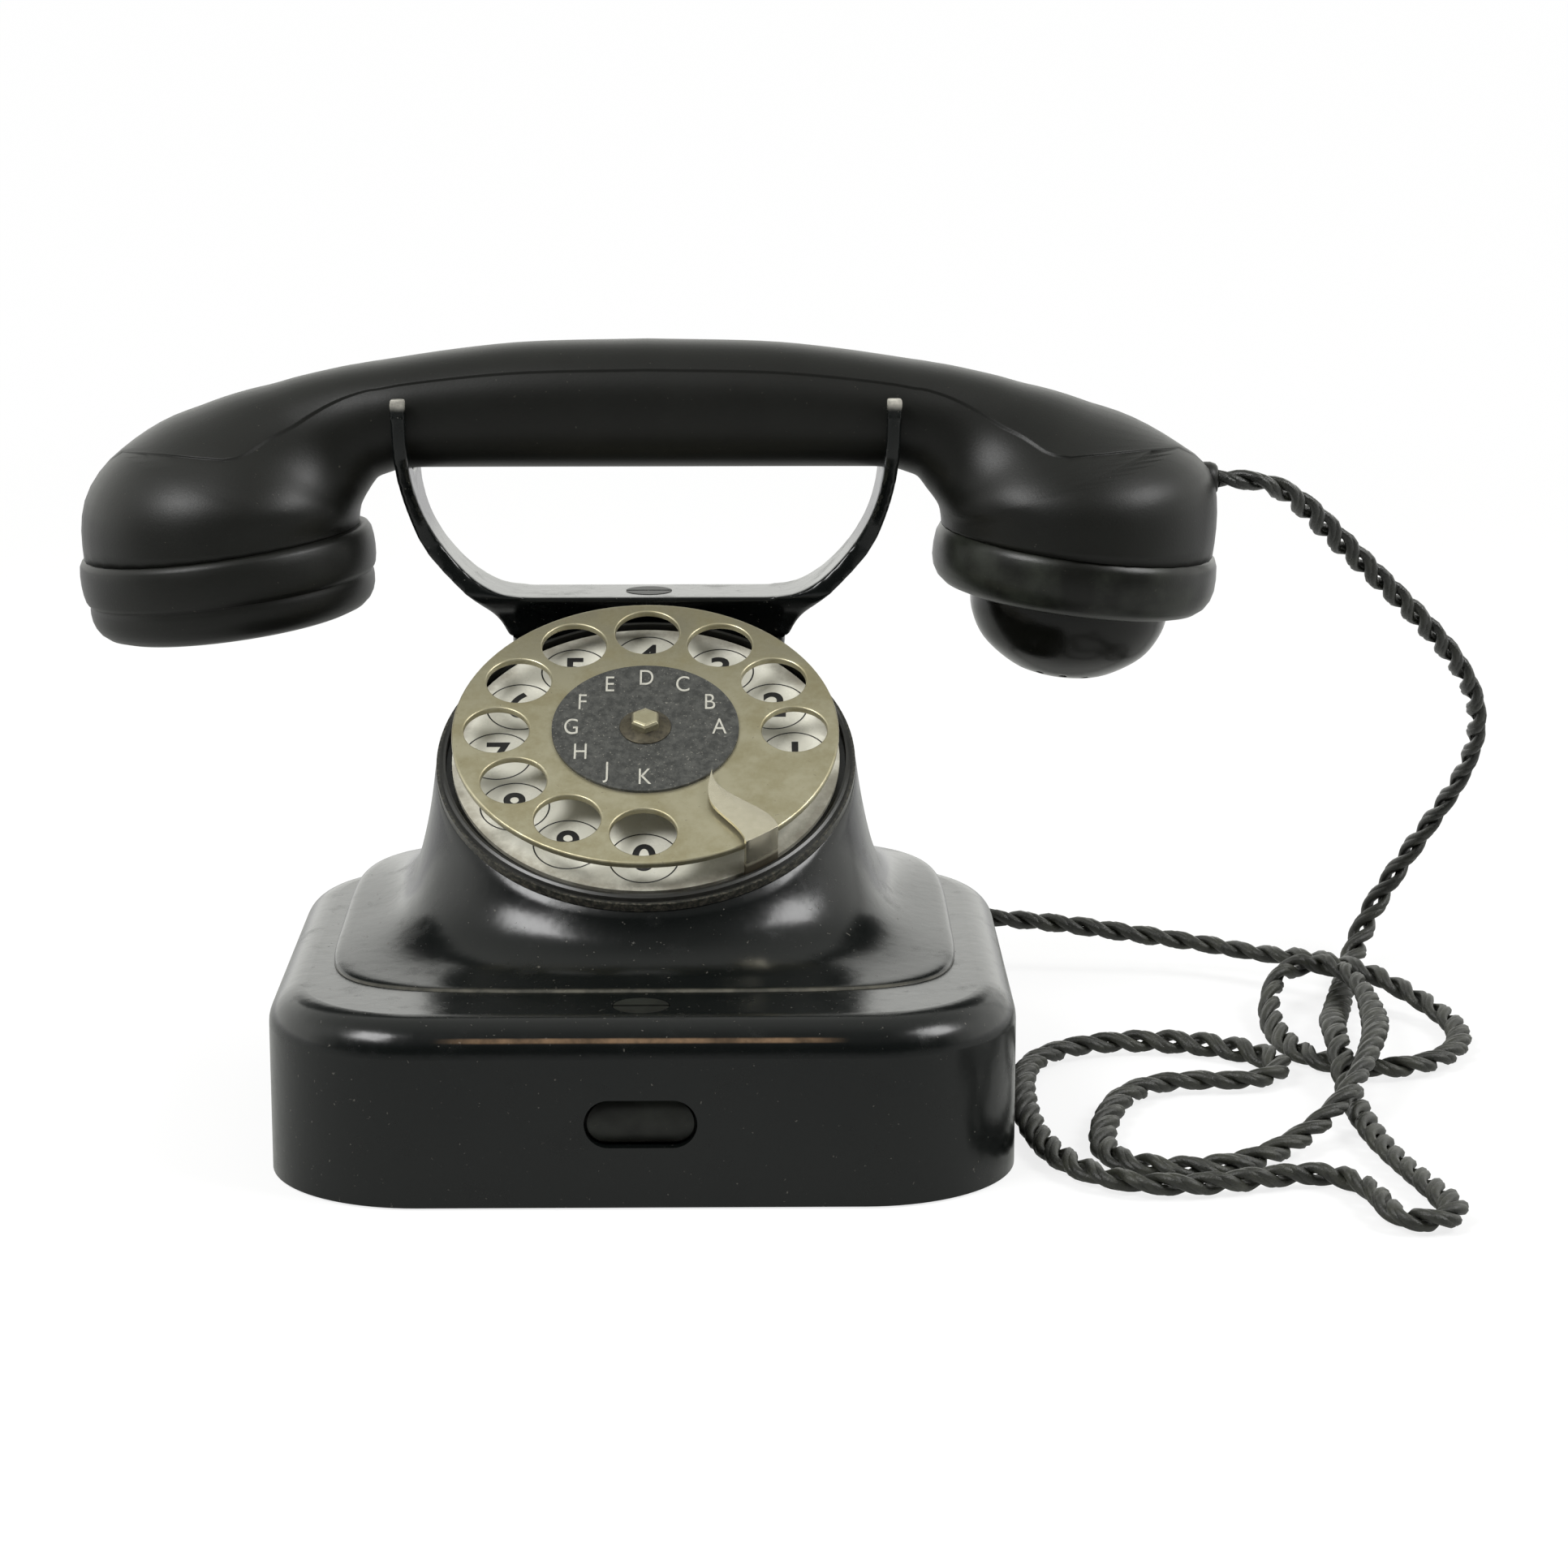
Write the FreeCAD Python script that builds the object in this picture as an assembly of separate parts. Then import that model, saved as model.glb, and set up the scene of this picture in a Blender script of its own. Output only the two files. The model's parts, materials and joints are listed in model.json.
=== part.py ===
"""Desk telephone with a rotary dial, a lyre cradle, a handset and a plaited cord.

Millimetres, with +X to the right of the dial, +Y to the back and +Z up.
"""
import FreeCAD, Part
import math
import os

V = FreeCAD.Vector
UP = V(0, 0, 1)

# Fits and small fasteners
running_fit = 0.05
loose_fit = 0.15
screw_radius = 2.0
screw_head = 4.0
screw_head_height = 1.2
flush_head_height = 2.0
slot_depth = 0.8

# Base box and its floor
base_width = 145.0
base_behind_fork = 15.0
base_top = 36.5
base_corner = 30.0
base_edge = 7.0
base_wall = 2.6
foot_height = 1.5
skirt_gap = 0.4
foot_radius = 7.0
foot_inset = 18.0
plate_thick = 1.6
plate_gap = 0.4
nut_height = 2.4

# Upper cover, from its rim on the base to the tilted collar
cover_ledge_side = 11.5
cover_ledge_front = 21.5
cover_ledge_back = 7.0
cover_wall = 2.6
cover_rim = 3.4
cover_squareness = 5.0
flare_setback = 3.0
tower_half_width = 27.5
tower_foot_spread = 8.5
tower_forward = 0.5
tower_half_depth = 8.0
tower_squareness = 4.0
tower_rise = 51.5

# Dial
dial_tilt = 30.0
wheel_rise = 41.0
wheel_radius = 39.0
wheel_thick = 1.5
wheel_rim = 2.5
hole_count = 10
hole_step = 30.0
hole_radius = 6.5
collar_margin = 3.6
collar_setback = 37.1
collar_drop = 9.0
bezel_height = 3.0
bezel_width = 1.9
bezel_step = 0.9
dial_plate_thick = 1.5
number_plate_thick = 1.0
card_margin = 4.65
card_thick = 0.6
washer_radius = 5.25
washer_thick = 0.8
bolt_flats = 5.4
bolt_height = 2.1
bolt_depth = 3.0
stop_angle = -54.5
stop_half_angle = 5.5
stop_tip_angle = -45.5
stop_tip_reach = 20.3
stop_thick = 0.8
stop_clearance = 0.5

# Dial movement
movement_depth = 17.0
back_plate_margin = 3.4
shaft_radius = 3.0
tooth_module = 0.6
drive_teeth = 60
pinion_teeth = 12
wheel_gear_teeth = 32
governor_teeth = 8
arbor_angle = 205.0
governor_angle = 262.0
gear_thick = 1.6
gear_gap = 2.0
arbor_radius = 1.2
weight_reach = 4.0
weight_radius = 1.6
pillar_radius = 1.8
spring_radius = 9.0
cam_radius = 12.0
cam_notch = 1.2

# Cradle fork
fork_gap = 2.73
saddle_depth = 18.0
neck_depth = 9.9
neck_height = 9.5
neck_overhang = 1.8
saddle_setback = 2.8
tower_gap = 1.0
prong_rise = 16.5
prong_clearance = 1.3
prong_thick = 3.2
prong_half_span = 52.7
prong_width = 3.2
seat_gap = 0.5
stem_width = 22.0
stem_thick = 5.0
stem_drop = 3.5
guide_wall = 2.0
guide_length = 26.0
spring_seat_height = 12.0

# Handset
hand_room = 26.5
handle_height = 26.6
handle_width = 25.0
handle_squareness = 2.2
bell_gap = 6.7
bell_radius = 29.6
bell_rise = 29.5
bell_tilt = 7.0
bell_drop = 42.2
ear_cap_radius = 31.0
ear_cap_height = 17.2
ear_cap_step = 8.0
mouth_ring_radius = 30.0
mouth_ring_height = 12.7
mouth_dome_radius = 21.0
mouth_dome_drop = 16.6
mouth_dome_wall = 2.0
capsule_radius = 24.0
capsule_depth = 11.0
capsule_gap = 1.0
sound_hole = 1.6
sound_pitch = 4.7
bush_radius = 4.4
bush_length = 7.0
bush_proud = 1.0
bush_drop = 29.6

# Push key in the front wall
key_slot_width = 21.4
key_slot_height = 9.3
key_clearance = 0.6
key_height = 16.8
key_travel = 3.0
key_recess = 0.8
key_depth = 9.0
key_spring_length = 2.2
key_spring_side = 6.0

# Flush screws that show, and the cord's way in
ledge_screw_radius = 5.5
ledge_screw_setback = 12.5
saddle_screw_radius = 5.0
cord_diameter = 5.5
gland_side = 32.0
gland_height = 20.0
gland_length = 6.0
gland_lip = 1.6

# Ringer and electrical pieces on the floor plate
gong_radius = 25.0
gong_height = 14.0
gong_wall = 1.4
gong_gap = 16.0
gong_row = 55.0
gong_lift = 10.0
gong_post_radius = 4.0
clapper_radius = 3.4
clapper_pin = 1.5
coil_radius = 8.0
coil_length = 20.0
coil_spread = 11.0
core_radius = 3.0
ringer_row = 90.0
terminal_side = -38.0
terminal_row = 18.0
terminal_height = 10.0

# Places that follow from the sizes above
tilt = math.radians(dial_tilt)
collar_radius = wheel_radius + collar_margin
wheel_setback = collar_setback + collar_radius * math.cos(tilt) - collar_drop * math.sin(tilt)
fork_setback = wheel_setback + wheel_radius * math.cos(tilt) + fork_gap + saddle_depth / 2
base_depth = fork_setback + base_behind_fork
base_front = -(fork_setback + ear_cap_radius) / 2
base_back = base_front + base_depth
base_mid = (base_front + base_back) / 2
fork_y = base_front + fork_setback
stem_y = fork_y - tower_forward
wheel_y = base_front + wheel_setback
wheel_height = base_top + wheel_rise
cover_half_width = base_width / 2 - cover_ledge_side
seam_front = base_front + cover_ledge_front
seam_back = base_back - cover_ledge_back
floor_top = foot_height + plate_thick
tower_top = base_top + tower_rise
hole_pitch = wheel_radius - wheel_rim - hole_radius
card_radius = hole_pitch - hole_radius - card_margin
bezel_top = bezel_height - collar_drop
number_plate_base = dial_plate_thick - collar_drop
back_plate_top = -collar_drop - movement_depth
drive_gear_base = -collar_drop - gear_gap - gear_thick
neck_base = tower_top + tower_gap
saddle_height = neck_base + neck_height
neck_half_width = tower_half_width + neck_overhang
saddle_half_flat = tower_half_width - saddle_setback
stem_foot = base_top - stem_drop
handle_low = saddle_height + hand_room
handle_top = handle_low + handle_height
seat_height = handle_low - seat_gap
prong_tip = seat_height + prong_rise
prong_gap = handle_width + 2 * prong_clearance
bell_span = prong_half_span + bell_gap + bell_radius
bell_seam_height = handle_top - bell_drop
bush_height = handle_top - bush_drop
handset_end = bell_span + bell_radius + bush_proud
key_face = base_front + key_recess
key_spring_seat = key_face + key_depth + key_travel + key_spring_length + loose_fit
gong_spread = gong_gap / 2 + gong_radius
gong_y = base_front + gong_row
ringer_y = base_front + ringer_row
coil_height = floor_top + coil_radius + 3
terminal_y = base_front + terminal_row

# The cord's route from the base's rear wall, over the floor, up to the handset
cord_route = [
    (gland_side, base_back + gland_length, gland_height), (gland_side, 73, gland_height),
    (36.5, 85, 17.6), (50, 94, 14.6), (70, 97, 13), (91, 94.5, 12), (109, 92.5, 9.8),
    (125.5, 91.5, 7.6), (138, 85, 6.8), (148, 76, 8.4), (157.5, 68, 8.2), (165.5, 59.5, 5.6),
    (171.4, 51, 3.4), (174, 40, 2.8), (172.6, 26.5, 2.8), (166.8, 15.4, 2.8), (157.4, 8.6, 2.8),
    (146.4, 9.6, 2.8), (138.2, 17.6, 2.8), (134.8, 29.5, 2.8), (134, 42.5, 3), (135.2, 55, 5),
    (138.4, 63.4, 8), (143.4, 67.6, 9.2), (149, 66.6, 9.6), (153, 61, 9.4), (154.8, 52, 8.8),
    (155, 42, 8.4), (154.4, 31, 8.4), (153.2, 19.5, 8.8), (151, 8, 9.4), (148, -4, 9.8),
    (144.6, -16, 9.6), (140.4, -26.4, 8.2), (135, -34.6, 5.6), (128.4, -42.4, 3.6), (121.4, -50, 2.8),
    (114.6, -55.6, 2.8), (107.7, -58, 2.8), (100.4, -57.5, 2.8), (93.8, -54.2, 2.8), (90, -47.6, 2.8),
    (90.2, -38, 2.8), (92.4, -24.6, 2.8), (96.4, -11, 2.8), (104, -1.6, 2.8), (113.4, 0.8, 2.8),
    (122.8, 0, 2.8), (129.6, 3.2, 2.8), (132.2, 10.6, 2.8), (129.6, 18.6, 2.8), (122.4, 24.4, 2.8),
    (113, 28.8, 2.8), (100.4, 29.6, 2.8), (88.2, 25, 2.8), (79.8, 14.4, 2.8), (77, 0.4, 2.8),
    (76.4, -15, 2.8), (76.8, -32, 2.8), (79.6, -48, 2.8), (86.2, -61, 2.8), (95.8, -67.6, 2.8),
    (107.6, -67.6, 2.8), (117.6, -64.2, 2.8), (125.5, -61.4, 2.8), (131.8, -61.8, 2.8), (136, -65.4, 2.8),
    (138.6, -71.4, 2.8), (139.6, -78.4, 2.8), (140.2, -84.6, 2.8), (143.4, -89.2, 2.8), (148.8, -89.4, 2.8),
    (152, -85, 2.8), (151.8, -78, 2.8), (149.4, -67, 2.8), (146.6, -55, 2.8), (144.6, -41.5, 2.8),
    (143.6, -27.5, 2.8), (143.2, -14, 3.2), (143.2, -3.5, 5.4), (143.4, 7, 8.5), (144, 18, 9),
    (145.6, 30, 7), (147.8, 42, 4.2), (150.4, 54.5, 3), (153.2, 67.5, 2.8), (156, 80.5, 2.8),
    (159, 92, 3.2), (162, 100.5, 6.8), (166.2, 105.4, 13.5), (172, 106.4, 22.6),
    (178.4, 103.6, 33.6), (183.8, 98.4, 44.6), (185.8, 91.5, 55.4), (184, 84, 66),
    (178, 77.2, 76.2), (169, 71, 86.2), (158.2, 64, 96.8), (147.2, 56.6, 107.2), (138.2, 48, 116.4),
    (129, fork_y, bush_height), (handset_end, fork_y, bush_height),
]


def block(x0, x1, y0, y1, z0, z1):
    return Part.makeBox(x1 - x0, y1 - y0, z1 - z0, V(x0, y0, z0))


def rod(radius, start, end):
    way = end - start
    return Part.makeCylinder(radius, way.Length, start, way)


def upright(radius, x, y, z0, z1):
    return Part.makeCylinder(radius, z1 - z0, V(x, y, z0))


def ring(outer, inner, z0, z1):
    return upright(outer, 0, 0, z0, z1).cut(upright(inner, 0, 0, z0 - 1, z1 + 1))


def round_box(x0, x1, y0, y1, z0, z1, radius):
    """A prism with rounded upright edges."""
    body = block(x0, x1, y0, y1, z0, z1)
    edges = [edge for edge in body.Edges if abs(edge.tangentAt(edge.FirstParameter).z) > 0.9]
    return body.makeFillet(radius, edges)


def stadium(width, height, y0, y1, z):
    """A bar with half-round ends, lying along X, from y0 to y1."""
    half = (width - height) / 2
    bar = block(-half, half, y0, y1, z - height / 2, z + height / 2)
    for x in (-half, half):
        bar = bar.fuse(rod(height / 2, V(x, y0, z), V(x, y1, z)))
    return bar.removeSplitter()


def lathe(profile):
    """Revolve a closed outline of (radius, height) points about Z."""
    points = [V(radius, 0, height) for radius, height in profile]
    face = Part.Face(Part.makePolygon(points + points[:1]))
    return face.revolve(V(0, 0, 0), UP, 360)


def smooth_lathe(curve, closing):
    """Revolve a smooth curve of (radius, height) points, closed by lines through the closing points."""
    spline = Part.BSplineCurve()
    spline.interpolate([V(radius, 0, height) for radius, height in curve])
    points = [V(radius, 0, height) for radius, height in [curve[-1]] + closing + [curve[0]]]
    lines = [Part.LineSegment(a, b).toShape() for a, b in zip(points, points[1:])]
    face = Part.Face(Part.Wire([spline.toShape()] + lines))
    return face.revolve(V(0, 0, 0), UP, 360)


def oval(half_x, half_y, power, centre, lean=0.0):
    """A closed smooth outline between an ellipse (power 2) and a rectangle, leaning back about X."""
    points = []
    for step in range(32):
        angle = 2 * math.pi * step / 32
        c, s = math.cos(angle), math.sin(angle)
        x = half_x * math.copysign(abs(c) ** (2 / power), c)
        y = half_y * math.copysign(abs(s) ** (2 / power), s)
        points.append(centre + V(x, y * math.cos(lean), y * math.sin(lean)))
    curve = Part.BSplineCurve()
    curve.interpolate(Points=points, PeriodicFlag=True)
    return Part.Wire([curve.toShape()])


def on_dial(shape):
    """Place a piece made about Z, with the finger wheel's middle at zero, on the tilted dial."""
    placed = shape.copy()
    placed.rotate(V(0, 0, 0), V(1, 0, 0), dial_tilt)
    placed.translate(V(0, wheel_y, wheel_height))
    return placed


def dial_point(z):
    """A point on the dial's axis."""
    return V(0, wheel_y - z * math.sin(tilt), wheel_height + z * math.cos(tilt))


def on_bell(shape, side):
    """Place a piece made about Z, with the bell's seam at zero, on the handset's left or right end."""
    placed = shape.copy()
    placed.rotate(V(0, 0, 0), V(0, 1, 0), side * bell_tilt)
    placed.translate(V(side * bell_span, fork_y, bell_seam_height))
    return placed


def polar(radius, degrees, z=0.0):
    return V(radius * math.cos(math.radians(degrees)), radius * math.sin(math.radians(degrees)), z)


def gear(teeth, thick, z0, bore, at, phase):
    """A spur gear with straight-sided teeth that leave room to run."""
    pitch_radius = tooth_module * teeth / 2
    step = 360.0 / teeth
    points = []
    for tooth in range(teeth):
        middle = phase + tooth * step
        for offset, radius in ((-0.24, -1.2), (-0.1, 0.8), (0.1, 0.8), (0.24, -1.2)):
            points.append(polar(pitch_radius + radius * tooth_module, middle + offset * step, z0))
    blank = Part.Face(Part.makePolygon(points + points[:1])).extrude(V(0, 0, thick))
    if bore:
        blank = blank.cut(upright(bore, 0, 0, z0 - 1, z0 + thick + 1))
    blank.translate(at)
    return blank


def cord_path(points):
    """Straight runs joined by the largest tangent arcs that the runs leave room for."""
    knots = [V(*point) for point in points]
    edges = []
    radii = []
    start = knots[0]
    for before, knot, after in zip(knots, knots[1:], knots[2:]):
        back = before - knot
        ahead = after - knot
        reach = 0.45 * min(back.Length, ahead.Length)
        turn = math.pi - back.getAngle(ahead)
        radii.append(reach / math.tan(turn / 2))
        enter = knot + V(back).normalize() * reach
        leave = knot + V(ahead).normalize() * reach
        inward = (V(back).normalize() + V(ahead).normalize()).normalize()
        middle = knot + inward * radii[-1] * (1 / math.cos(turn / 2) - 1)
        edges.append(Part.LineSegment(start, enter).toShape())
        edges.append(Part.Arc(enter, middle, leave).toShape())
        start = leave
    edges.append(Part.LineSegment(start, knots[-1]).toShape())
    return Part.Wire(edges), radii


# Base


def base_outline(inset, z0, z1):
    half = base_width / 2 - inset
    return round_box(-half, half, base_front + inset, base_back - inset, z0, z1, base_corner - inset)


def base_box():
    body = base_outline(0, skirt_gap, base_top)
    rim = [edge for edge in body.Edges if edge.BoundBox.ZMin > base_top - 0.01]
    body = body.makeFillet(base_edge, rim)
    hollow = base_outline(base_wall, skirt_gap - 1, base_top - base_wall)
    roof = [edge for edge in hollow.Edges if edge.BoundBox.ZMin > base_top - base_wall - 0.01]
    body = body.cut(hollow.makeFillet(base_edge - base_wall, roof))
    half = cover_half_width - 2 * cover_rim
    front = seam_front + 2 * cover_rim
    mouth = round_box(-half, half, front, seam_back - cover_rim, 0, base_top + 1, 4 * cover_rim)
    boss_y = base_front + ledge_screw_setback
    roof_height = base_top - base_wall
    boss = upright(ledge_screw_radius + base_wall, 0, boss_y, roof_height - 4, roof_height)
    body = body.cut(mouth).fuse(boss)
    body = body.cut(upright(ledge_screw_radius, 0, boss_y, base_top - flush_head_height, base_top + 1))
    body = body.cut(upright(screw_radius, 0, boss_y, 0, base_top))
    inside = base_front + base_wall + 1
    body = body.cut(stadium(key_slot_width, key_slot_height, base_front - 1, inside, key_height))
    gland_start = V(gland_side, base_back - base_wall - 1, gland_height)
    return body.cut(rod(cord_diameter, gland_start, V(gland_side, base_back + 1, gland_height)))


def corner_places(inset):
    """The four places, an inset in from the base's corners, where feet and screws go."""
    x = base_width / 2 - inset
    return [(sx * x, y) for sx in (-1, 1) for y in (base_front + inset, base_back - inset)]


def base_plate():
    plate = base_outline(base_wall + plate_gap, foot_height, floor_top)
    for x, y in corner_places(foot_inset):
        plate = plate.cut(upright(screw_radius, x, y, 0, base_top))
    return plate


def feet():
    pads = [upright(foot_radius, x, y, 0, foot_height) for x, y in corner_places(foot_inset)]
    holes = [upright(screw_head, x, y, -1, screw_head_height) for x, y in corner_places(foot_inset)]
    holes += [upright(screw_radius, x, y, 0, foot_height + 1) for x, y in corner_places(foot_inset)]
    return Part.makeCompound([pad.cut(Part.makeCompound(holes)) for pad in pads])


def foot_screws():
    """Screws that hold the feet and the floor plate to the nuts inside."""
    recess = 0.4
    screws = []
    for x, y in corner_places(foot_inset):
        head = upright(screw_head - loose_fit, x, y, recess, screw_head_height)
        shank = upright(screw_radius - running_fit, x, y, screw_head_height, floor_top + nut_height + 0.6)
        screws.append(head.fuse(shank))
    return Part.makeCompound(screws)


def foot_nuts():
    nuts = []
    for x, y in corner_places(foot_inset):
        nut = upright(screw_head, x, y, floor_top, floor_top + nut_height)
        nuts.append(nut.cut(upright(screw_radius, x, y, 0, base_top)))
    return Part.makeCompound(nuts)


def flush_screw(radius, x, y, top, length):
    """A countersunk-flush screw with a slot across its head."""
    under = top - flush_head_height
    head = upright(radius - loose_fit, x, y, under, top)
    head = head.cut(block(x - radius, x + radius, y - 0.5, y + 0.5, top - slot_depth, top + 1))
    return head.fuse(upright(screw_radius - running_fit, x, y, top - length, under))


def ledge_screw():
    return flush_screw(ledge_screw_radius, 0, base_front + ledge_screw_setback, base_top, base_wall + 6)


def cord_gland():
    out = V(0, 1, 0)
    outside = V(gland_side, base_back, gland_height)
    inside = outside - out * base_wall
    neck = Part.makeCylinder(cord_diameter - loose_fit, base_wall, inside, out)
    flange = Part.makeCone(cord_diameter + gland_lip, cord_diameter * 0.75, gland_length, outside, out)
    lip = Part.makeCylinder(cord_diameter + gland_lip, gland_lip, inside - out * gland_lip, out)
    return neck.fuse(flange).fuse(lip).removeSplitter()


# Upper cover


def cover_loft(inset):
    """The cover's body: a rounded oblong rim that flares up into the tilted round collar."""
    stations = [(0, 1, 0), (0.05, 0.985, 0), (0.085, 0.85, 0), (0.14, 0.53, 0.07), (0.35, 0.24, 0.3),
                (0.64, 0.12, 0.65), (1, 0, 1)]
    collar = dial_point(-collar_drop)
    rim_half = (seam_back - seam_front) / 2
    rim_mid = (seam_back + seam_front) / 2
    wires = []
    for rise, spread, lean in stations:
        half_x = collar_radius + (cover_half_width - collar_radius) * spread - inset
        half_y = collar_radius + (rim_half - collar_radius) * spread - inset
        power = 2 + (cover_squareness - 2) * spread
        y = rim_mid + (collar.y - rim_mid) * rise + flare_setback * math.sin(math.pi * rise)
        z = base_top + (collar.z - base_top) * rise
        wires.append(oval(half_x, half_y, power, V(0, y, z), lean * tilt))
    return Part.makeLoft(wires, True, False)


def tower(inset, z0, z1):
    """The oblong tower behind the dial that carries the cradle's stem."""
    wires = []
    for rise, spread in ((0, 1), (0.3, 0.45), (0.6, 0.1), (0.8, 0), (1, 0)):
        half = tower_half_width + tower_foot_spread * spread - inset
        place = V(0, stem_y, z0 + (z1 - z0) * rise)
        wires.append(oval(half, tower_half_depth - inset, tower_squareness, place))
    return Part.makeLoft(wires, True, False)


def stem_bar(gap, z0, z1):
    half = stem_width / 2 + gap
    deep = stem_thick / 2 + gap
    return block(-half, half, stem_y - deep, stem_y + deep, z0, z1)


def upper_cover():
    body = cover_loft(0)
    inner = cover_loft(cover_wall)
    roof = on_dial(upright(2 * collar_radius, 0, 0, -collar_drop - cover_wall, 2 * collar_radius))
    opening = on_dial(upright(collar_radius - 2 * cover_wall, 0, 0, -2 * collar_drop, -collar_drop + 1))
    cap_height = tower_top - 2 * cover_wall
    cap_front = stem_y - tower_half_depth
    cap = block(-collar_radius, collar_radius, cap_front, 2 * collar_radius, cap_height, 2 * tower_top)
    rib_foot = base_top + cover_wall
    rib = tower(0, rib_foot, tower_top)
    shell = body.fuse(rib).cut(inner.cut(roof).cut(rib))
    shell = shell.cut(tower(cover_wall, rib_foot - loose_fit, tower_top).cut(cap))
    front = block(-collar_radius, collar_radius, base_front, stem_y, base_top, cap_height)
    shell = shell.cut(inner.cut(roof).common(front))
    shell = shell.cut(opening.cut(cap))
    shell = shell.cut(stem_bar(guide_wall, base_top, tower_top + 1))
    solids = sorted(shell.Solids, key=lambda solid: solid.Volume)
    return solids[-1]


# Dial: fixed pieces


def dial_bezel():
    outer = collar_radius - 0.2
    inner = outer - bezel_width
    shoulder = outer - bezel_step
    step = bezel_top - 1.2
    return lathe([(inner, -collar_drop), (outer, -collar_drop), (outer, step), (shoulder, step),
                  (shoulder, bezel_top - 0.3), (shoulder - 0.5, bezel_top), (inner, bezel_top)])


def number_plate():
    top = number_plate_base + number_plate_thick
    return ring(wheel_radius + 0.2, 2 * shaft_radius, number_plate_base, top)


def governor_place():
    """Middle of the governor's arbor, one mesh away from the arbor's."""
    reach = tooth_module * (wheel_gear_teeth + governor_teeth) / 2
    return arbor_place() + polar(reach, governor_angle)


def arbor_place():
    return polar(tooth_module * (drive_teeth + pinion_teeth) / 2, arbor_angle)


def dial_front_plate():
    plate = upright(collar_radius - bezel_width - 0.3, 0, 0, -collar_drop, number_plate_base)
    plate = plate.cut(upright(shaft_radius + running_fit, 0, 0, -collar_drop - 1, 0))
    for place in (arbor_place(), governor_place()):
        plate = plate.cut(upright(arbor_radius + running_fit, place.x, place.y, -collar_drop - 1, 0))
    return plate


def back_plate_radius():
    return arbor_place().Length + back_plate_margin


def pillar_places():
    return [polar(back_plate_radius() - pillar_radius - 1.2, angle) for angle in (35, 100, 160, 285)]


def dial_back_plate():
    top = back_plate_top
    low = top - dial_plate_thick
    plate = upright(back_plate_radius(), 0, 0, low, top)
    tail = arbor_place()
    far = governor_place()
    plate = plate.fuse(upright((far - tail).Length + back_plate_margin, tail.x, tail.y, low, top))
    plate = plate.cut(upright(shaft_radius + running_fit, 0, 0, low - 1, 0))
    for place in (tail, far):
        plate = plate.cut(upright(arbor_radius + running_fit, place.x, place.y, low - 1, 0))
    return plate.removeSplitter()


def dial_pillars():
    pillars = []
    for place in pillar_places():
        pillars.append(upright(pillar_radius, place.x, place.y, back_plate_top, -collar_drop))
    return Part.makeCompound(pillars)


def pulse_contacts():
    """Two leaf springs in an insulated block on the back plate."""
    place = polar(back_plate_radius() - 7, 320)
    low = back_plate_top
    stack = block(place.x - 4, place.x + 4, place.y - 2.4, place.y + 2.4, low, low + 6)
    for z in (low + 1.6, low + 4):
        stack = stack.fuse(block(place.x - 5, place.x + 6, place.y - 1.5, place.y + 1.5, z, z + 0.5))
    return stack


def finger_stop():
    """A bent strip that rises beside the finger wheel and reaches in over it like a claw."""
    root = wheel_radius + stop_clearance
    rim = root + stop_thick
    height = wheel_thick / 2 + card_thick + stop_clearance
    low, high = stop_angle - stop_half_angle, stop_angle + stop_half_angle
    foot = ring(rim, root, number_plate_base, height + stop_thick)
    wedge = Part.Face(Part.makePolygon([V(0, 0, 0), polar(2 * rim, low), polar(2 * rim, high), V(0, 0, 0)]))
    wedge.translate(V(0, 0, -rim))
    foot = foot.common(wedge.extrude(V(0, 0, 2 * rim)))
    tip = polar(rim - stop_tip_reach - stop_thick, stop_tip_angle)
    leading = Part.BSplineCurve()
    leading.interpolate([polar(rim, low), polar(0.78 * rim, low), polar(0.66 * rim, low - 0.4),
                         polar(0.53 * rim, low + 7), tip])
    trailing = Part.BSplineCurve()
    trailing.interpolate([tip, polar(0.56 * rim, high - 2), polar(0.72 * rim, high - 1), polar(rim, high)])
    edge = Part.LineSegment(polar(rim, high), polar(rim, low)).toShape()
    arm = Part.Face(Part.Wire([leading.toShape(), trailing.toShape(), edge]))
    arm.translate(V(0, 0, height))
    return foot.fuse(arm.extrude(V(0, 0, stop_thick))).removeSplitter()


# Dial: turning pieces


def finger_wheel():
    wheel = upright(wheel_radius, 0, 0, -wheel_thick / 2, wheel_thick / 2)
    for index in range(hole_count):
        place = polar(hole_pitch, index * hole_step)
        wheel = wheel.cut(upright(hole_radius, place.x, place.y, -wheel_thick, wheel_thick))
    return wheel.cut(upright(screw_radius, 0, 0, -wheel_thick, wheel_thick))


def letter_card():
    low = wheel_thick / 2
    return ring(card_radius, screw_radius, low, low + card_thick)


def hub_washer():
    low = wheel_thick / 2 + card_thick
    return ring(washer_radius, screw_radius, low, low + washer_thick)


def hub_bolt():
    low = wheel_thick / 2 + card_thick + washer_thick
    corner = bolt_flats / math.sqrt(3)
    outline = Part.makePolygon([polar(corner, 60 * step, low) for step in range(7)])
    head = Part.Face(outline).extrude(V(0, 0, bolt_height))
    return head.fuse(upright(screw_radius - running_fit, 0, 0, -wheel_thick / 2 - bolt_depth, low))


def dial_shaft():
    top = -wheel_thick / 2
    shaft = upright(shaft_radius, 0, 0, back_plate_top - dial_plate_thick - 1, top)
    return shaft.cut(upright(screw_radius, 0, 0, top - bolt_depth, 0))


def drive_gear():
    return gear(drive_teeth, gear_thick, drive_gear_base, shaft_radius, V(0, 0, 0), arbor_angle)


def mainspring():
    return ring(spring_radius, shaft_radius, back_plate_top + 1, drive_gear_base - 2.5)


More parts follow.
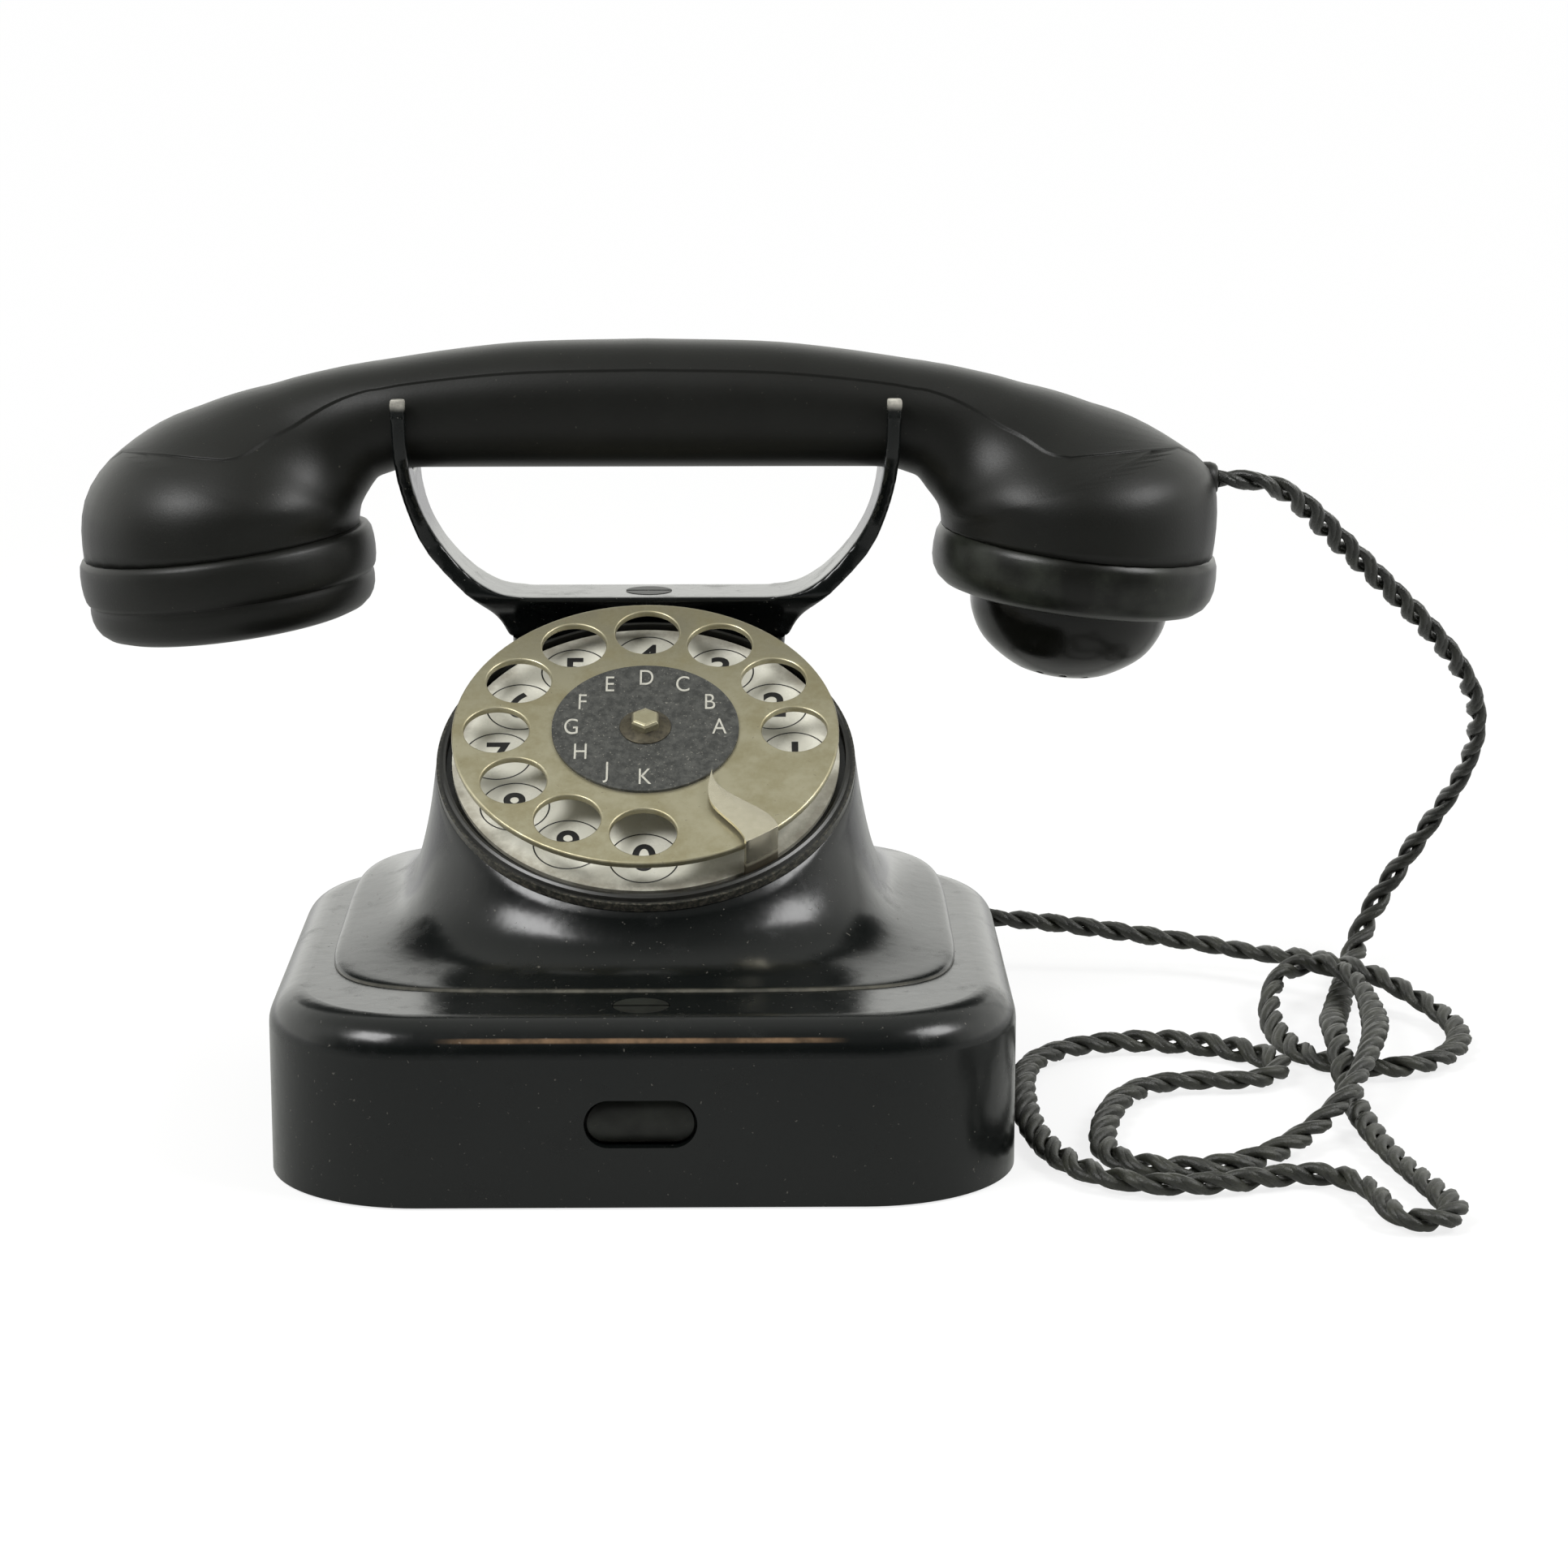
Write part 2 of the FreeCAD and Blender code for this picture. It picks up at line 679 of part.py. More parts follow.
def pulse_cam():
    low = drive_gear_base - gear_thick
    cam = ring(cam_radius, shaft_radius, low, low + 1.2)
    for index in range(hole_count):
        place = polar(cam_radius, 130 + 18 * index)
        cam = cam.cut(upright(cam_notch, place.x, place.y, low - 1, low + 2))
    return cam


def arbor_bar(place):
    low = back_plate_top - dial_plate_thick
    return upright(arbor_radius, place.x, place.y, low, number_plate_base - 0.2)


def dial_arbor():
    """The arbor between the drive gear and the governor, cut in one piece with its pinion."""
    place = arbor_place()
    phase = arbor_angle + 180 + 180.0 / pinion_teeth
    return arbor_bar(place).fuse(gear(pinion_teeth, gear_thick + 1, drive_gear_base - 0.5, 0, place, phase))


def arbor_gear():
    low = back_plate_top + gear_gap
    return gear(wheel_gear_teeth, gear_thick, low, arbor_radius, arbor_place(), governor_angle)


def governor_arbor():
    """The governor's arbor, cut in one piece with its pinion."""
    place = governor_place()
    phase = governor_angle + 180 + 180.0 / governor_teeth
    low = back_plate_top + gear_gap - 0.5
    return arbor_bar(place).fuse(gear(governor_teeth, gear_thick + 1, low, 0, place, phase))


def governor_weights():
    """The cross bar and two fly weights that brake the return."""
    low = back_plate_top + gear_gap + gear_thick + 2.9
    bar = block(-weight_reach, weight_reach, -weight_radius, weight_radius, low, low + 1)
    for x in (-weight_reach, weight_reach):
        bar = bar.fuse(upright(weight_radius, x, 0, low, low + 3))
    bar = bar.cut(upright(arbor_radius, 0, 0, low - 1, low + 4))
    bar.translate(governor_place())
    return bar.removeSplitter()


# Cradle


def smooth_edge(shares, start, end):
    """A smooth edge in the XZ plane through points given as shares of the way from start to end."""
    curve = Part.BSplineCurve()
    curve.interpolate([V(start[0] + (end[0] - start[0]) * across, 0, start[1] + (end[1] - start[1]) * up)
                       for across, up in shares])
    return curve.toShape()


def fork_front():
    """The lyre outline seen from the front, as a slab through the fork's depth."""
    neck = (neck_half_width, neck_base)
    flat = (saddle_half_flat, saddle_height)
    tip_out = (prong_half_span, prong_tip)
    tip_in = (prong_half_span - prong_width, prong_tip)
    outer = smooth_edge([(0, 0), (0.15, 0.115), (0.434, 0.227), (0.702, 0.375), (0.872, 0.538),
                         (0.963, 0.731), (1, 1)], neck, tip_out)
    inner = smooth_edge([(0, 0), (0.214, 0.021), (0.407, 0.082), (0.601, 0.186), (0.77, 0.308),
                         (0.891, 0.435), (0.96, 0.576), (0.992, 0.765), (1, 1)], flat, tip_in)
    tip = Part.LineSegment(V(tip_out[0], 0, prong_tip), V(tip_in[0], 0, prong_tip)).toShape()
    right = [outer, tip, inner]
    left = [edge.mirror(V(0, 0, 0), V(1, 0, 0)) for edge in right]
    floor = Part.LineSegment(V(flat[0], 0, saddle_height), V(-flat[0], 0, saddle_height)).toShape()
    under = Part.LineSegment(V(-neck[0], 0, neck_base), V(neck[0], 0, neck_base)).toShape()
    face = Part.Face(Part.Wire(Part.__sortEdges__(right + left + [floor, under])))
    face.translate(V(0, fork_y - prong_gap, 0))
    return face.extrude(V(0, 2 * prong_gap, 0))


def fork_side():
    """The outline seen from the side: a neck, a deeper saddle and a U for the handle between the prongs."""
    half_out = prong_gap / 2 + prong_thick
    half_saddle = saddle_depth / 2
    neck_back = tower_half_depth - tower_forward
    neck_front = neck_back - neck_depth
    crook = seat_height + prong_gap / 2
    reach = 2 * prong_half_span
    flare = [(0, 0), (0.025, 0.082), (0.175, 0.2), (0.475, 0.353), (0.775, 0.506), (0.95, 0.671),
             (0.99, 0.835), (1, 1)]
    back = smooth_edge(flare, (half_saddle, saddle_height), (half_out, prong_tip))
    front = back.mirror(V(0, 0, 0), V(1, 0, 0))
    tip = Part.makeLine(V(half_out, 0, prong_tip), V(-half_out, 0, prong_tip))
    under = [(-half_saddle, saddle_height), (-half_saddle, saddle_height - 2.5),
             (neck_front, saddle_height - 4.5), (neck_front, neck_base), (neck_back, neck_base),
             (half_saddle, saddle_height - 3), (half_saddle, saddle_height)]
    keel = Part.makePolygon([V(y, 0, z) for y, z in under]).Edges
    face = Part.Face(Part.Wire(Part.__sortEdges__([back, tip, front] + keel)))
    slab = face.extrude(V(0, 2 * reach, 0))
    slab.rotate(V(0, 0, 0), UP, 90)
    slab.translate(V(reach, fork_y, 0))
    slab = slab.cut(rod(prong_gap / 2, V(-reach, fork_y, crook), V(reach, fork_y, crook)))
    half = prong_gap / 2
    return slab.cut(block(-reach, reach, fork_y - half, fork_y + half, crook, prong_tip + 1))


def cradle_fork():
    fork = fork_front().common(fork_side())
    fork = fork.fuse(stem_bar(0, stem_foot, neck_base)).removeSplitter()
    head = upright(saddle_screw_radius, 0, fork_y, saddle_height - flush_head_height, saddle_height + 1)
    return fork.cut(head).cut(upright(screw_radius, 0, fork_y, neck_base, saddle_height))


def saddle_screw():
    return flush_screw(saddle_screw_radius, 0, fork_y, saddle_height, neck_height - 1)


def cradle_guide():
    """The sleeve in the tower that the stem slides in."""
    sleeve = stem_bar(guide_wall - running_fit, tower_top - guide_length, tower_top)
    return sleeve.cut(stem_bar(loose_fit, base_top, tower_top + 1))


def cradle_spring():
    """The spring that lifts the stem, on its seat on the floor plate."""
    spring = ring(3.2, 2.2, floor_top + spring_seat_height, stem_foot)
    spring.translate(V(0, stem_y, 0))
    return spring


def spring_seat():
    shoulder = floor_top + spring_seat_height
    return upright(5, 0, stem_y, floor_top, shoulder).fuse(upright(2, 0, stem_y, floor_top, shoulder + 4))


def hook_switch():
    """The stack of leaf contacts that the stem works."""
    y = stem_y
    stack = block(16, 24, y - 4, y + 4, floor_top, stem_foot - 4)
    for z in (floor_top + 8, floor_top + 13, stem_foot - 5):
        stack = stack.fuse(block(5.5, 20, y - 2.5, y + 2.5, z, z + 0.6))
    return stack.removeSplitter()


# Push key


def push_key():
    width = key_slot_width - 2 * key_clearance
    height = key_slot_height - 2 * key_clearance
    bulge = 0.9 * height
    bar = stadium(width, height, key_face, key_face + key_depth, key_height)
    barrel = rod(bulge, V(-width, key_face + bulge, key_height), V(width, key_face + bulge, key_height))
    bar = bar.common(barrel.fuse(block(-width, width, key_face + bulge, key_face + key_depth, 0, base_top)))
    near = key_face + base_wall + key_clearance
    half = width / 2 + 2
    flange = block(-half, half, near, near + 1.2, key_height - height / 2, key_height + height / 2)
    return bar.fuse(flange).removeSplitter()


def key_bracket():
    """The bracket that carries the key's springs and contacts behind it."""
    half = key_spring_side * 2
    wall = block(-half, half, key_spring_seat, key_spring_seat + 1.5, floor_top, key_height + 5)
    shelf = block(-half, half, key_spring_seat, key_spring_seat + 10, floor_top, floor_top + 1.5)
    return wall.fuse(shelf).removeSplitter()


def key_springs():
    springs = []
    for x in (-key_spring_side, key_spring_side):
        near = V(x, key_spring_seat - key_spring_length, key_height)
        springs.append(rod(1.6, near, V(x, key_spring_seat, key_height)))
    return Part.makeCompound(springs)


# Ringer


def gong(side):
    low = floor_top + gong_lift
    waist = gong_height / 2
    shoulder = (0.8 * gong_radius, 0.85 * gong_height)
    crown = 0.3 * gong_radius
    inner = gong_radius - gong_wall
    outside = [(gong_radius, 0), (gong_radius, waist), shoulder, (crown, gong_height),
               (screw_radius, gong_height)]
    inside = [(screw_radius, gong_height - gong_wall), (crown, gong_height - gong_wall),
              (shoulder[0] - gong_wall, shoulder[1] - gong_wall), (inner, waist - gong_wall / 2), (inner, 0)]
    shell = lathe(outside + inside)
    shell.translate(V(side * gong_spread, gong_y, low))
    return shell


def gong_posts():
    seat = floor_top + gong_lift + gong_height - gong_wall
    posts = []
    for x in (-gong_spread, gong_spread):
        stud = upright(screw_radius - loose_fit, x, gong_y, seat, seat + gong_wall + nut_height + 0.6)
        posts.append(upright(gong_post_radius, x, gong_y, floor_top, seat).fuse(stud))
    return Part.makeCompound(posts)


def gong_nuts():
    low = floor_top + gong_lift + gong_height
    bore = screw_radius - running_fit
    edge = gong_post_radius + 0.5
    nuts = []
    for x in (-gong_spread, gong_spread):
        nut = lathe([(bore, low), (edge, low), (edge, low + nut_height - 0.8),
                     (edge - 0.9, low + nut_height), (bore, low + nut_height)])
        nut.translate(V(x, gong_y, 0))
        nuts.append(nut)
    return Part.makeCompound(nuts)


def clapper_pivot():
    return ringer_y - coil_length / 2 - 5


def ringer_frame():
    """The iron yoke that joins the coils' cores and carries the clapper's pivot."""
    back = ringer_y + coil_length / 2
    front = ringer_y - coil_length / 2
    half = coil_spread + coil_radius + 1
    yoke = block(-half, half, back, back + 3, floor_top, coil_height + coil_radius)
    for x in (-coil_spread, coil_spread):
        yoke = yoke.fuse(rod(core_radius, V(x, front - 1, coil_height), V(x, back, coil_height)))
    shelf = block(-6, 6, clapper_pivot() - 2, back, floor_top, floor_top + 2)
    pin = upright(clapper_pin, 0, clapper_pivot(), floor_top, coil_height + 5)
    return yoke.fuse(shelf).fuse(pin).removeSplitter()


def ringer_coils():
    front = ringer_y - coil_length / 2 + 0.5
    back = ringer_y + coil_length / 2
    coils = []
    for x in (-coil_spread, coil_spread):
        near, far = V(x, front, coil_height), V(x, back, coil_height)
        coils.append(rod(coil_radius, near, far).cut(rod(core_radius, near, far)))
    return Part.makeCompound(coils)


def ringer_magnet():
    y = ringer_y + coil_length / 2 + 3
    half = coil_spread + coil_radius - 2
    return block(-half, half, y, y + 5, floor_top, coil_height + 6)


def clapper():
    """The armature that rocks on its pin, with a rod and a ball between the gongs."""
    pivot = clapper_pivot()
    half = coil_spread + core_radius
    hub = upright(2 * clapper_pin, 0, pivot, coil_height - 3.5, coil_height + 3.5)
    bar = block(-half, half, pivot - 1, pivot + 1, coil_height - 3, coil_height + 3)
    ball_place = V(0, gong_y, floor_top + gong_lift + clapper_radius)
    ball = Part.makeSphere(clapper_radius, ball_place)
    arm = rod(0.9, V(0, pivot - 2, coil_height - 1), ball_place)
    bore = upright(clapper_pin + running_fit, 0, pivot, floor_top, base_top)
    return hub.fuse(bar).fuse(arm).fuse(ball).cut(bore)


# Electrical pieces


def induction_coil():
    x = -base_width / 2 + 34
    y = base_mid + 38
    z = floor_top + 9
    core = rod(3, V(x, y - 19, z), V(x, y + 19, z))
    body = rod(7.5, V(x, y - 15, z), V(x, y + 15, z))
    cheeks = [block(x - 9, x + 9, y + s * 16 - 1.2, y + s * 16 + 1.2, floor_top, z + 9) for s in (-1, 1)]
    return body.fuse([core] + cheeks).removeSplitter()


def capacitor():
    x = base_width / 2 - 34
    y = base_mid + 32
    return round_box(x - 9, x + 9, y - 13, y + 13, floor_top, floor_top + 24, 2)


def terminal_block():
    x = terminal_side
    return block(x - 8, x + 8, terminal_y - 6, terminal_y + 6, floor_top, floor_top + terminal_height)


def terminal_screws():
    top = floor_top + terminal_height
    screws = []
    for x in (terminal_side - 5, terminal_side, terminal_side + 5):
        head = upright(1.9, x, terminal_y, top, top + 1.4)
        slot = block(x - 3, x + 3, terminal_y - 0.3, terminal_y + 0.3, top + slot_depth, top + 2)
        screws.append(head.cut(slot))
    return Part.makeCompound(screws)


# Handset


def handle():
    """The grip, arched on top, that runs into both bells."""
    wide = handle_width / 2
    stations = [(0.28, 0.6, 0, 0), (0.56, 3.5, 0, 0.1), (0.64, 4.6, 0, 0.4), (0.765, 6.4, 0.6, 1.6),
                (0.9, 9.6, 2.5, 3.5), (1.045, 13.2, 4, 4.5)]
    right = [(share * bell_span, handle_top - fall, handle_low - sag, wide + spread)
             for share, fall, sag, spread in stations]
    left = [(-x, top, bottom, deep) for x, top, bottom, deep in right[::-1]]
    wires = []
    for x, top, bottom, deep in left + [(0, handle_top, handle_low, wide)] + right:
        wire = oval((top - bottom) / 2, deep, handle_squareness, V(0, 0, 0))
        wire.rotate(V(0, 0, 0), V(0, 1, 0), 90)
        wire.translate(V(x, fork_y, (top + bottom) / 2))
        wires.append(wire)
    return Part.makeLoft(wires, True, False)


def bell(side):
    r = bell_radius
    h = bell_rise
    dome = [(r, h - 25.5), (r - 0.7, h - 21), (r - 2.8, h - 15.5), (r - 6.4, h - 10.3), (r - 11, h - 6.7),
            (r - 20, h - 2.2), (0, h)]
    return on_bell(smooth_lathe(dome, [(0, 0), (r, 0)]), side)


def cord_bush_at(x0, x1, radius):
    return rod(radius, V(x0, fork_y, bush_height), V(x1, fork_y, bush_height))


def handset_body():
    body = handle().fuse([bell(-1), bell(1)])
    for side in (-1, 1):
        hollow = upright(capsule_radius + capsule_gap, 0, 0, -1, capsule_depth + capsule_gap)
        body = body.cut(on_bell(hollow, side))
    body = body.cut(cord_bush_at(handset_end - bush_length, handset_end + 5, bush_radius))
    solids = sorted(body.removeSplitter().Solids, key=lambda solid: solid.Volume)
    return solids[-1]


def handset_cord_bush():
    return cord_bush_at(handset_end - bush_length, handset_end, bush_radius - running_fit)


def ear_cap():
    r = ear_cap_radius
    low = -ear_cap_height
    step = low + ear_cap_step
    inner = capsule_radius + capsule_gap
    upper_band = [(inner, 0), (r - 1.2, 0), (r, -1.2), (r, step + 0.8), (r - 0.8, step),
                  (r - 1.4, step - 0.2)]
    lower_band = [(r - 1.4, low + 3), (r - 3.4, low + 0.6), (r - 6, low)]
    dish = [(r - 9, low), (8, low + 4), (0, low + 4.4), (0, low + 7), (inner, low + 6)]
    cap = lathe(upper_band + lower_band + dish)
    places = [V(0, 0, 0)] + [polar(sound_pitch, 60 * index) for index in range(6)]
    for place in places:
        cap = cap.cut(upright(sound_hole, place.x, place.y, low - 1, low + 9))
    return on_bell(cap, -1)


def receiver_capsule():
    r = capsule_radius
    return on_bell(lathe([(0, 0.5), (r, 0.5), (r, 4), (r - 3, capsule_depth), (0, capsule_depth)]), -1)


def receiver_diaphragm():
    return on_bell(upright(capsule_radius, 0, 0, -0.2, 0.1), -1)


def mouth_ring():
    r = mouth_ring_radius
    low = -mouth_ring_height
    inner = mouth_dome_radius + 0.2
    seat = mouth_dome_radius + mouth_dome_wall + 0.2
    outside = [(r - 1.5, 0), (r - 0.4, -1.5), (r, -5), (r - 0.6, low + 3.6), (r - 2.4, low + 1.2),
               (r - 5, low)]
    inside = [(inner, low), (inner, low + 3), (seat, low + 3.2), (seat, 0)]
    return on_bell(lathe(outside + inside), 1)


def mouthpiece_dome():
    """The pierced dome that the ring clamps by its flange."""
    r = mouth_dome_radius
    wall = mouth_dome_wall
    base = -mouth_ring_height + 3.4
    low = -mouth_ring_height - mouth_dome_drop
    outside = [(r, base - 2.5), (r - 1.2, base - 8), (r - 4.6, low + 6.4), (r - 10.8, low + 2), (0, low)]
    inside = [(max(radius - wall, 0), height + wall) for radius, height in outside]
    cap = smooth_lathe(outside, [(0, base), (r, base)])
    cap = cap.fuse(ring(r + wall, r - wall, base, base + 1.5))
    cap = cap.cut(smooth_lathe(inside, [(0, base + 2), (r - wall, base + 2)]))
    places = [V(0, 0, 0)]
    places += [polar(sound_pitch, 60 * index) for index in range(6)]
    places += [polar(2 * sound_pitch, 30 * index) for index in range(12)]
    for place in places:
        cap = cap.cut(upright(sound_hole / 2, place.x, place.y, low - 1, low + 8))
    return on_bell(cap, 1)


def transmitter_capsule():
    low = -mouth_ring_height + 5.2
    r = capsule_radius
    body = lathe([(0, low), (mouth_dome_radius, low), (mouth_dome_radius, 0.5), (r, 0.5), (r, 4),
                  (r - 4, capsule_depth), (0, capsule_depth)])
    return on_bell(body, 1)


# Cord


def handset_cord():
    path, radii = cord_path(cord_route)
    first = V(*cord_route[0])
    way = V(*cord_route[1]) - first
    section = Part.Wire([Part.Circle(first, way, cord_diameter / 2).toShape()])
    tube = path.makePipeShell([section], True, True)
    expected = math.pi * cord_diameter ** 2 / 4 * path.Length
    print("cord length %.1f, smallest radii %s" % (path.Length, [round(r, 1) for r in sorted(radii)[:12]]))
    print("cord volume %.0f, section times length %.0f" % (tube.Volume, expected))
    return tube


pieces = {
    "base_box": base_box(),
    "base_plate": base_plate(),
    "feet": feet(),
    "foot_screws": foot_screws(),
    "foot_nuts": foot_nuts(),
    "ledge_screw": ledge_screw(),
    "cord_gland": cord_gland(),
    "upper_cover": upper_cover(),
    "dial_bezel": on_dial(dial_bezel()),
    "number_plate": on_dial(number_plate()),
    "dial_front_plate": on_dial(dial_front_plate()),
    "dial_back_plate": on_dial(dial_back_plate()),
    "dial_pillars": on_dial(dial_pillars()),
    "pulse_contacts": on_dial(pulse_contacts()),
    "finger_stop": on_dial(finger_stop()),
    "finger_wheel": on_dial(finger_wheel()),
    "letter_card": on_dial(letter_card()),
    "hub_washer": on_dial(hub_washer()),
    "hub_bolt": on_dial(hub_bolt()),
    "dial_shaft": on_dial(dial_shaft()),
    "drive_gear": on_dial(drive_gear()),
    "mainspring": on_dial(mainspring()),
    "pulse_cam": on_dial(pulse_cam()),
    "dial_arbor": on_dial(dial_arbor()),
    "arbor_gear": on_dial(arbor_gear()),
    "governor_arbor": on_dial(governor_arbor()),
    "governor_weights": on_dial(governor_weights()),
    "cradle_fork": cradle_fork(),
    "saddle_screw": saddle_screw(),
    "cradle_guide": cradle_guide(),
    "cradle_spring": cradle_spring(),
    "spring_seat": spring_seat(),
    "hook_switch": hook_switch(),
    "push_key": push_key(),
    "key_bracket": key_bracket(),
    "key_springs": key_springs(),
    "gong_left": gong(-1),
    "gong_right": gong(1),
    "gong_posts": gong_posts(),
    "gong_nuts": gong_nuts(),
    "ringer_frame": ringer_frame(),
    "ringer_coils": ringer_coils(),
    "ringer_magnet": ringer_magnet(),
    "clapper": clapper(),
    "induction_coil": induction_coil(),
    "capacitor": capacitor(),
    "terminal_block": terminal_block(),
    "terminal_screws": terminal_screws(),
    "handset_body": handset_body(),
    "ear_cap": ear_cap(),
    "receiver_capsule": receiver_capsule(),
    "receiver_diaphragm": receiver_diaphragm(),
    "mouth_ring": mouth_ring(),
    "mouthpiece_dome": mouthpiece_dome(),
    "transmitter_capsule": transmitter_capsule(),
    "handset_cord_bush": handset_cord_bush(),
    "handset_cord": handset_cord(),
}

os.makedirs("parts", exist_ok=True)
for name, shape in pieces.items():
    if not shape.isValid() or min(solid.Volume for solid in shape.Solids) <= 0:
        print("check", name)
    shape.exportStep("parts/%s.step" % name)
print("pieces", len(pieces))
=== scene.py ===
"""Desk telephone: finishes, handset, cover, dial, fork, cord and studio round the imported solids.

Blender's lengths are in metres. Outlines and tables are in millimetres and are scaled by MM.
"""
import json
import math

import bmesh
import bpy
from mathutils import Euler, Matrix, Vector


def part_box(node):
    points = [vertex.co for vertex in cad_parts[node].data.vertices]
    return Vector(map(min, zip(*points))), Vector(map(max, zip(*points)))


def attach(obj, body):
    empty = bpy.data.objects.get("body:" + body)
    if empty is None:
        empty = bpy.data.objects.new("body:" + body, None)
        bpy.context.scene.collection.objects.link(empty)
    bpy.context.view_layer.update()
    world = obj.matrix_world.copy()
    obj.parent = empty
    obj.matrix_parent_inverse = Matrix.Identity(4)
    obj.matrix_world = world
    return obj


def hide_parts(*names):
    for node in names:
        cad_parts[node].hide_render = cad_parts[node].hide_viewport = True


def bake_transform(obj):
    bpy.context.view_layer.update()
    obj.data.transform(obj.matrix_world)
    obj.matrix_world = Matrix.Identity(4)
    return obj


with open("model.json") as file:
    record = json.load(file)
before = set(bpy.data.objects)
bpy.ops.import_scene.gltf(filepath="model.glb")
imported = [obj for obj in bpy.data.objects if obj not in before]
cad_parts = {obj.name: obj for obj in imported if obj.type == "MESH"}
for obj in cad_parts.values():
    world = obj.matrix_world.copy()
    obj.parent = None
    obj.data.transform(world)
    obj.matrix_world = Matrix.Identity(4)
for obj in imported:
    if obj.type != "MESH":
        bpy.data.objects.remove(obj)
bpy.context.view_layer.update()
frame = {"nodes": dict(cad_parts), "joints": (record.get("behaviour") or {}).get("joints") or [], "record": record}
MM = 0.001


# Shader expressions


class Value:
    """One output of a shader node; arithmetic on it adds Math nodes."""

    def __init__(self, finish, socket):
        self.finish = finish
        self.socket = socket

    def math(self, operation, first, second):
        return self.finish.node("ShaderNodeMath", {"operation": operation}, {0: first, 1: second})

    def __add__(self, other):
        return self.math("ADD", self, other)

    def __radd__(self, other):
        return self.math("ADD", other, self)

    def __sub__(self, other):
        return self.math("SUBTRACT", self, other)

    def __rsub__(self, other):
        return self.math("SUBTRACT", other, self)

    def __mul__(self, other):
        return self.math("MULTIPLY", self, other)

    def __rmul__(self, other):
        return self.math("MULTIPLY", other, self)


class Finish:
    """A material, or the studio's sky, whose nodes are added one by one."""

    def __init__(self, name, sky=None):
        self.material = sky or bpy.data.materials.new(name)
        self.material.use_nodes = True
        self.tree = self.material.node_tree
        self.tree.nodes.clear()
        self.place = self.node("ShaderNodeTexCoord", {}, {}, "Generated" if sky else "Object")

    def node(self, kind, settings, inputs, output=0):
        """Add a node; inputs are numbers for its sockets, or values to link to them."""
        made = self.tree.nodes.new(kind)
        for name, setting in settings.items():
            setattr(made, name, setting)
        for name, entry in inputs.items():
            if isinstance(entry, Value):
                self.tree.links.new(entry.socket, made.inputs[name])
            else:
                made.inputs[name].default_value = entry
        return Value(self, made.outputs[output]) if made.outputs else None

    def noise(self, size, detail=3.0, roughness=0.55, stretch=(1, 1, 1)):
        """Cloudy noise with blotches of about the given size."""
        place = self.node("ShaderNodeMapping", {}, {"Vector": self.place, "Scale": stretch})
        inputs = {"Vector": place, "Scale": 1 / size, "Detail": detail, "Roughness": roughness}
        return self.node("ShaderNodeTexNoise", {}, inputs)

    def step(self, value, low, high):
        """0 below low, 1 above high, smooth between."""
        inputs = {"Value": value, "From Min": low, "From Max": high}
        return self.node("ShaderNodeMapRange", {"interpolation_type": "SMOOTHSTEP"}, inputs)

    def axis(self, name):
        """One coordinate of the place on the piece."""
        return self.node("ShaderNodeSeparateXYZ", {}, {0: self.place}, name)

    def vector(self, operation, inputs, output=0):
        return self.node("ShaderNodeVectorMath", {"operation": operation}, inputs, output)

    def reach(self, middle, axis):
        """Distance from an axis through a point."""
        away = self.vector("SUBTRACT", {0: self.place, 1: middle})
        turned = self.vector("CROSS_PRODUCT", {0: away, 1: axis})
        return self.vector("LENGTH", {0: turned}, "Value")

    def level(self, middle, axis):
        """Height along an axis over a point."""
        away = self.vector("SUBTRACT", {0: self.place, 1: middle})
        return self.vector("DOT_PRODUCT", {0: away, 1: axis}, "Value")

    def mix(self, share, first, second):
        """A colour between two."""
        return self.node("ShaderNodeMix", {"data_type": "RGBA"}, {0: share, 6: first, 7: second}, 2)

    def surface(self, colour, roughness, metallic=0.0, bump=None, depth=0.0, **constants):
        """The finished material; constants are numbers that stay the same all over."""
        inputs = {"Base Color": colour, "Roughness": roughness, "Metallic": metallic}
        inputs.update({name.replace("_", " "): number for name, number in constants.items()})
        if bump is not None:
            inputs["Normal"] = self.node("ShaderNodeBump", {}, {"Height": bump, "Distance": depth})
        shader = self.node("ShaderNodeBsdfPrincipled", {}, inputs)
        self.node("ShaderNodeOutputMaterial", {}, {"Surface": shader})
        return self.material


def rgb(red, green, blue):
    return (red, green, blue, 1.0)


# Finishes

dial_joint = next(joint for joint in frame["joints"] if joint["name"] == "dial_turn")
dial_middle, dial_axis = dial_joint["pos_m"], dial_joint["axis"]
dial_tilt = math.acos(dial_axis[2])


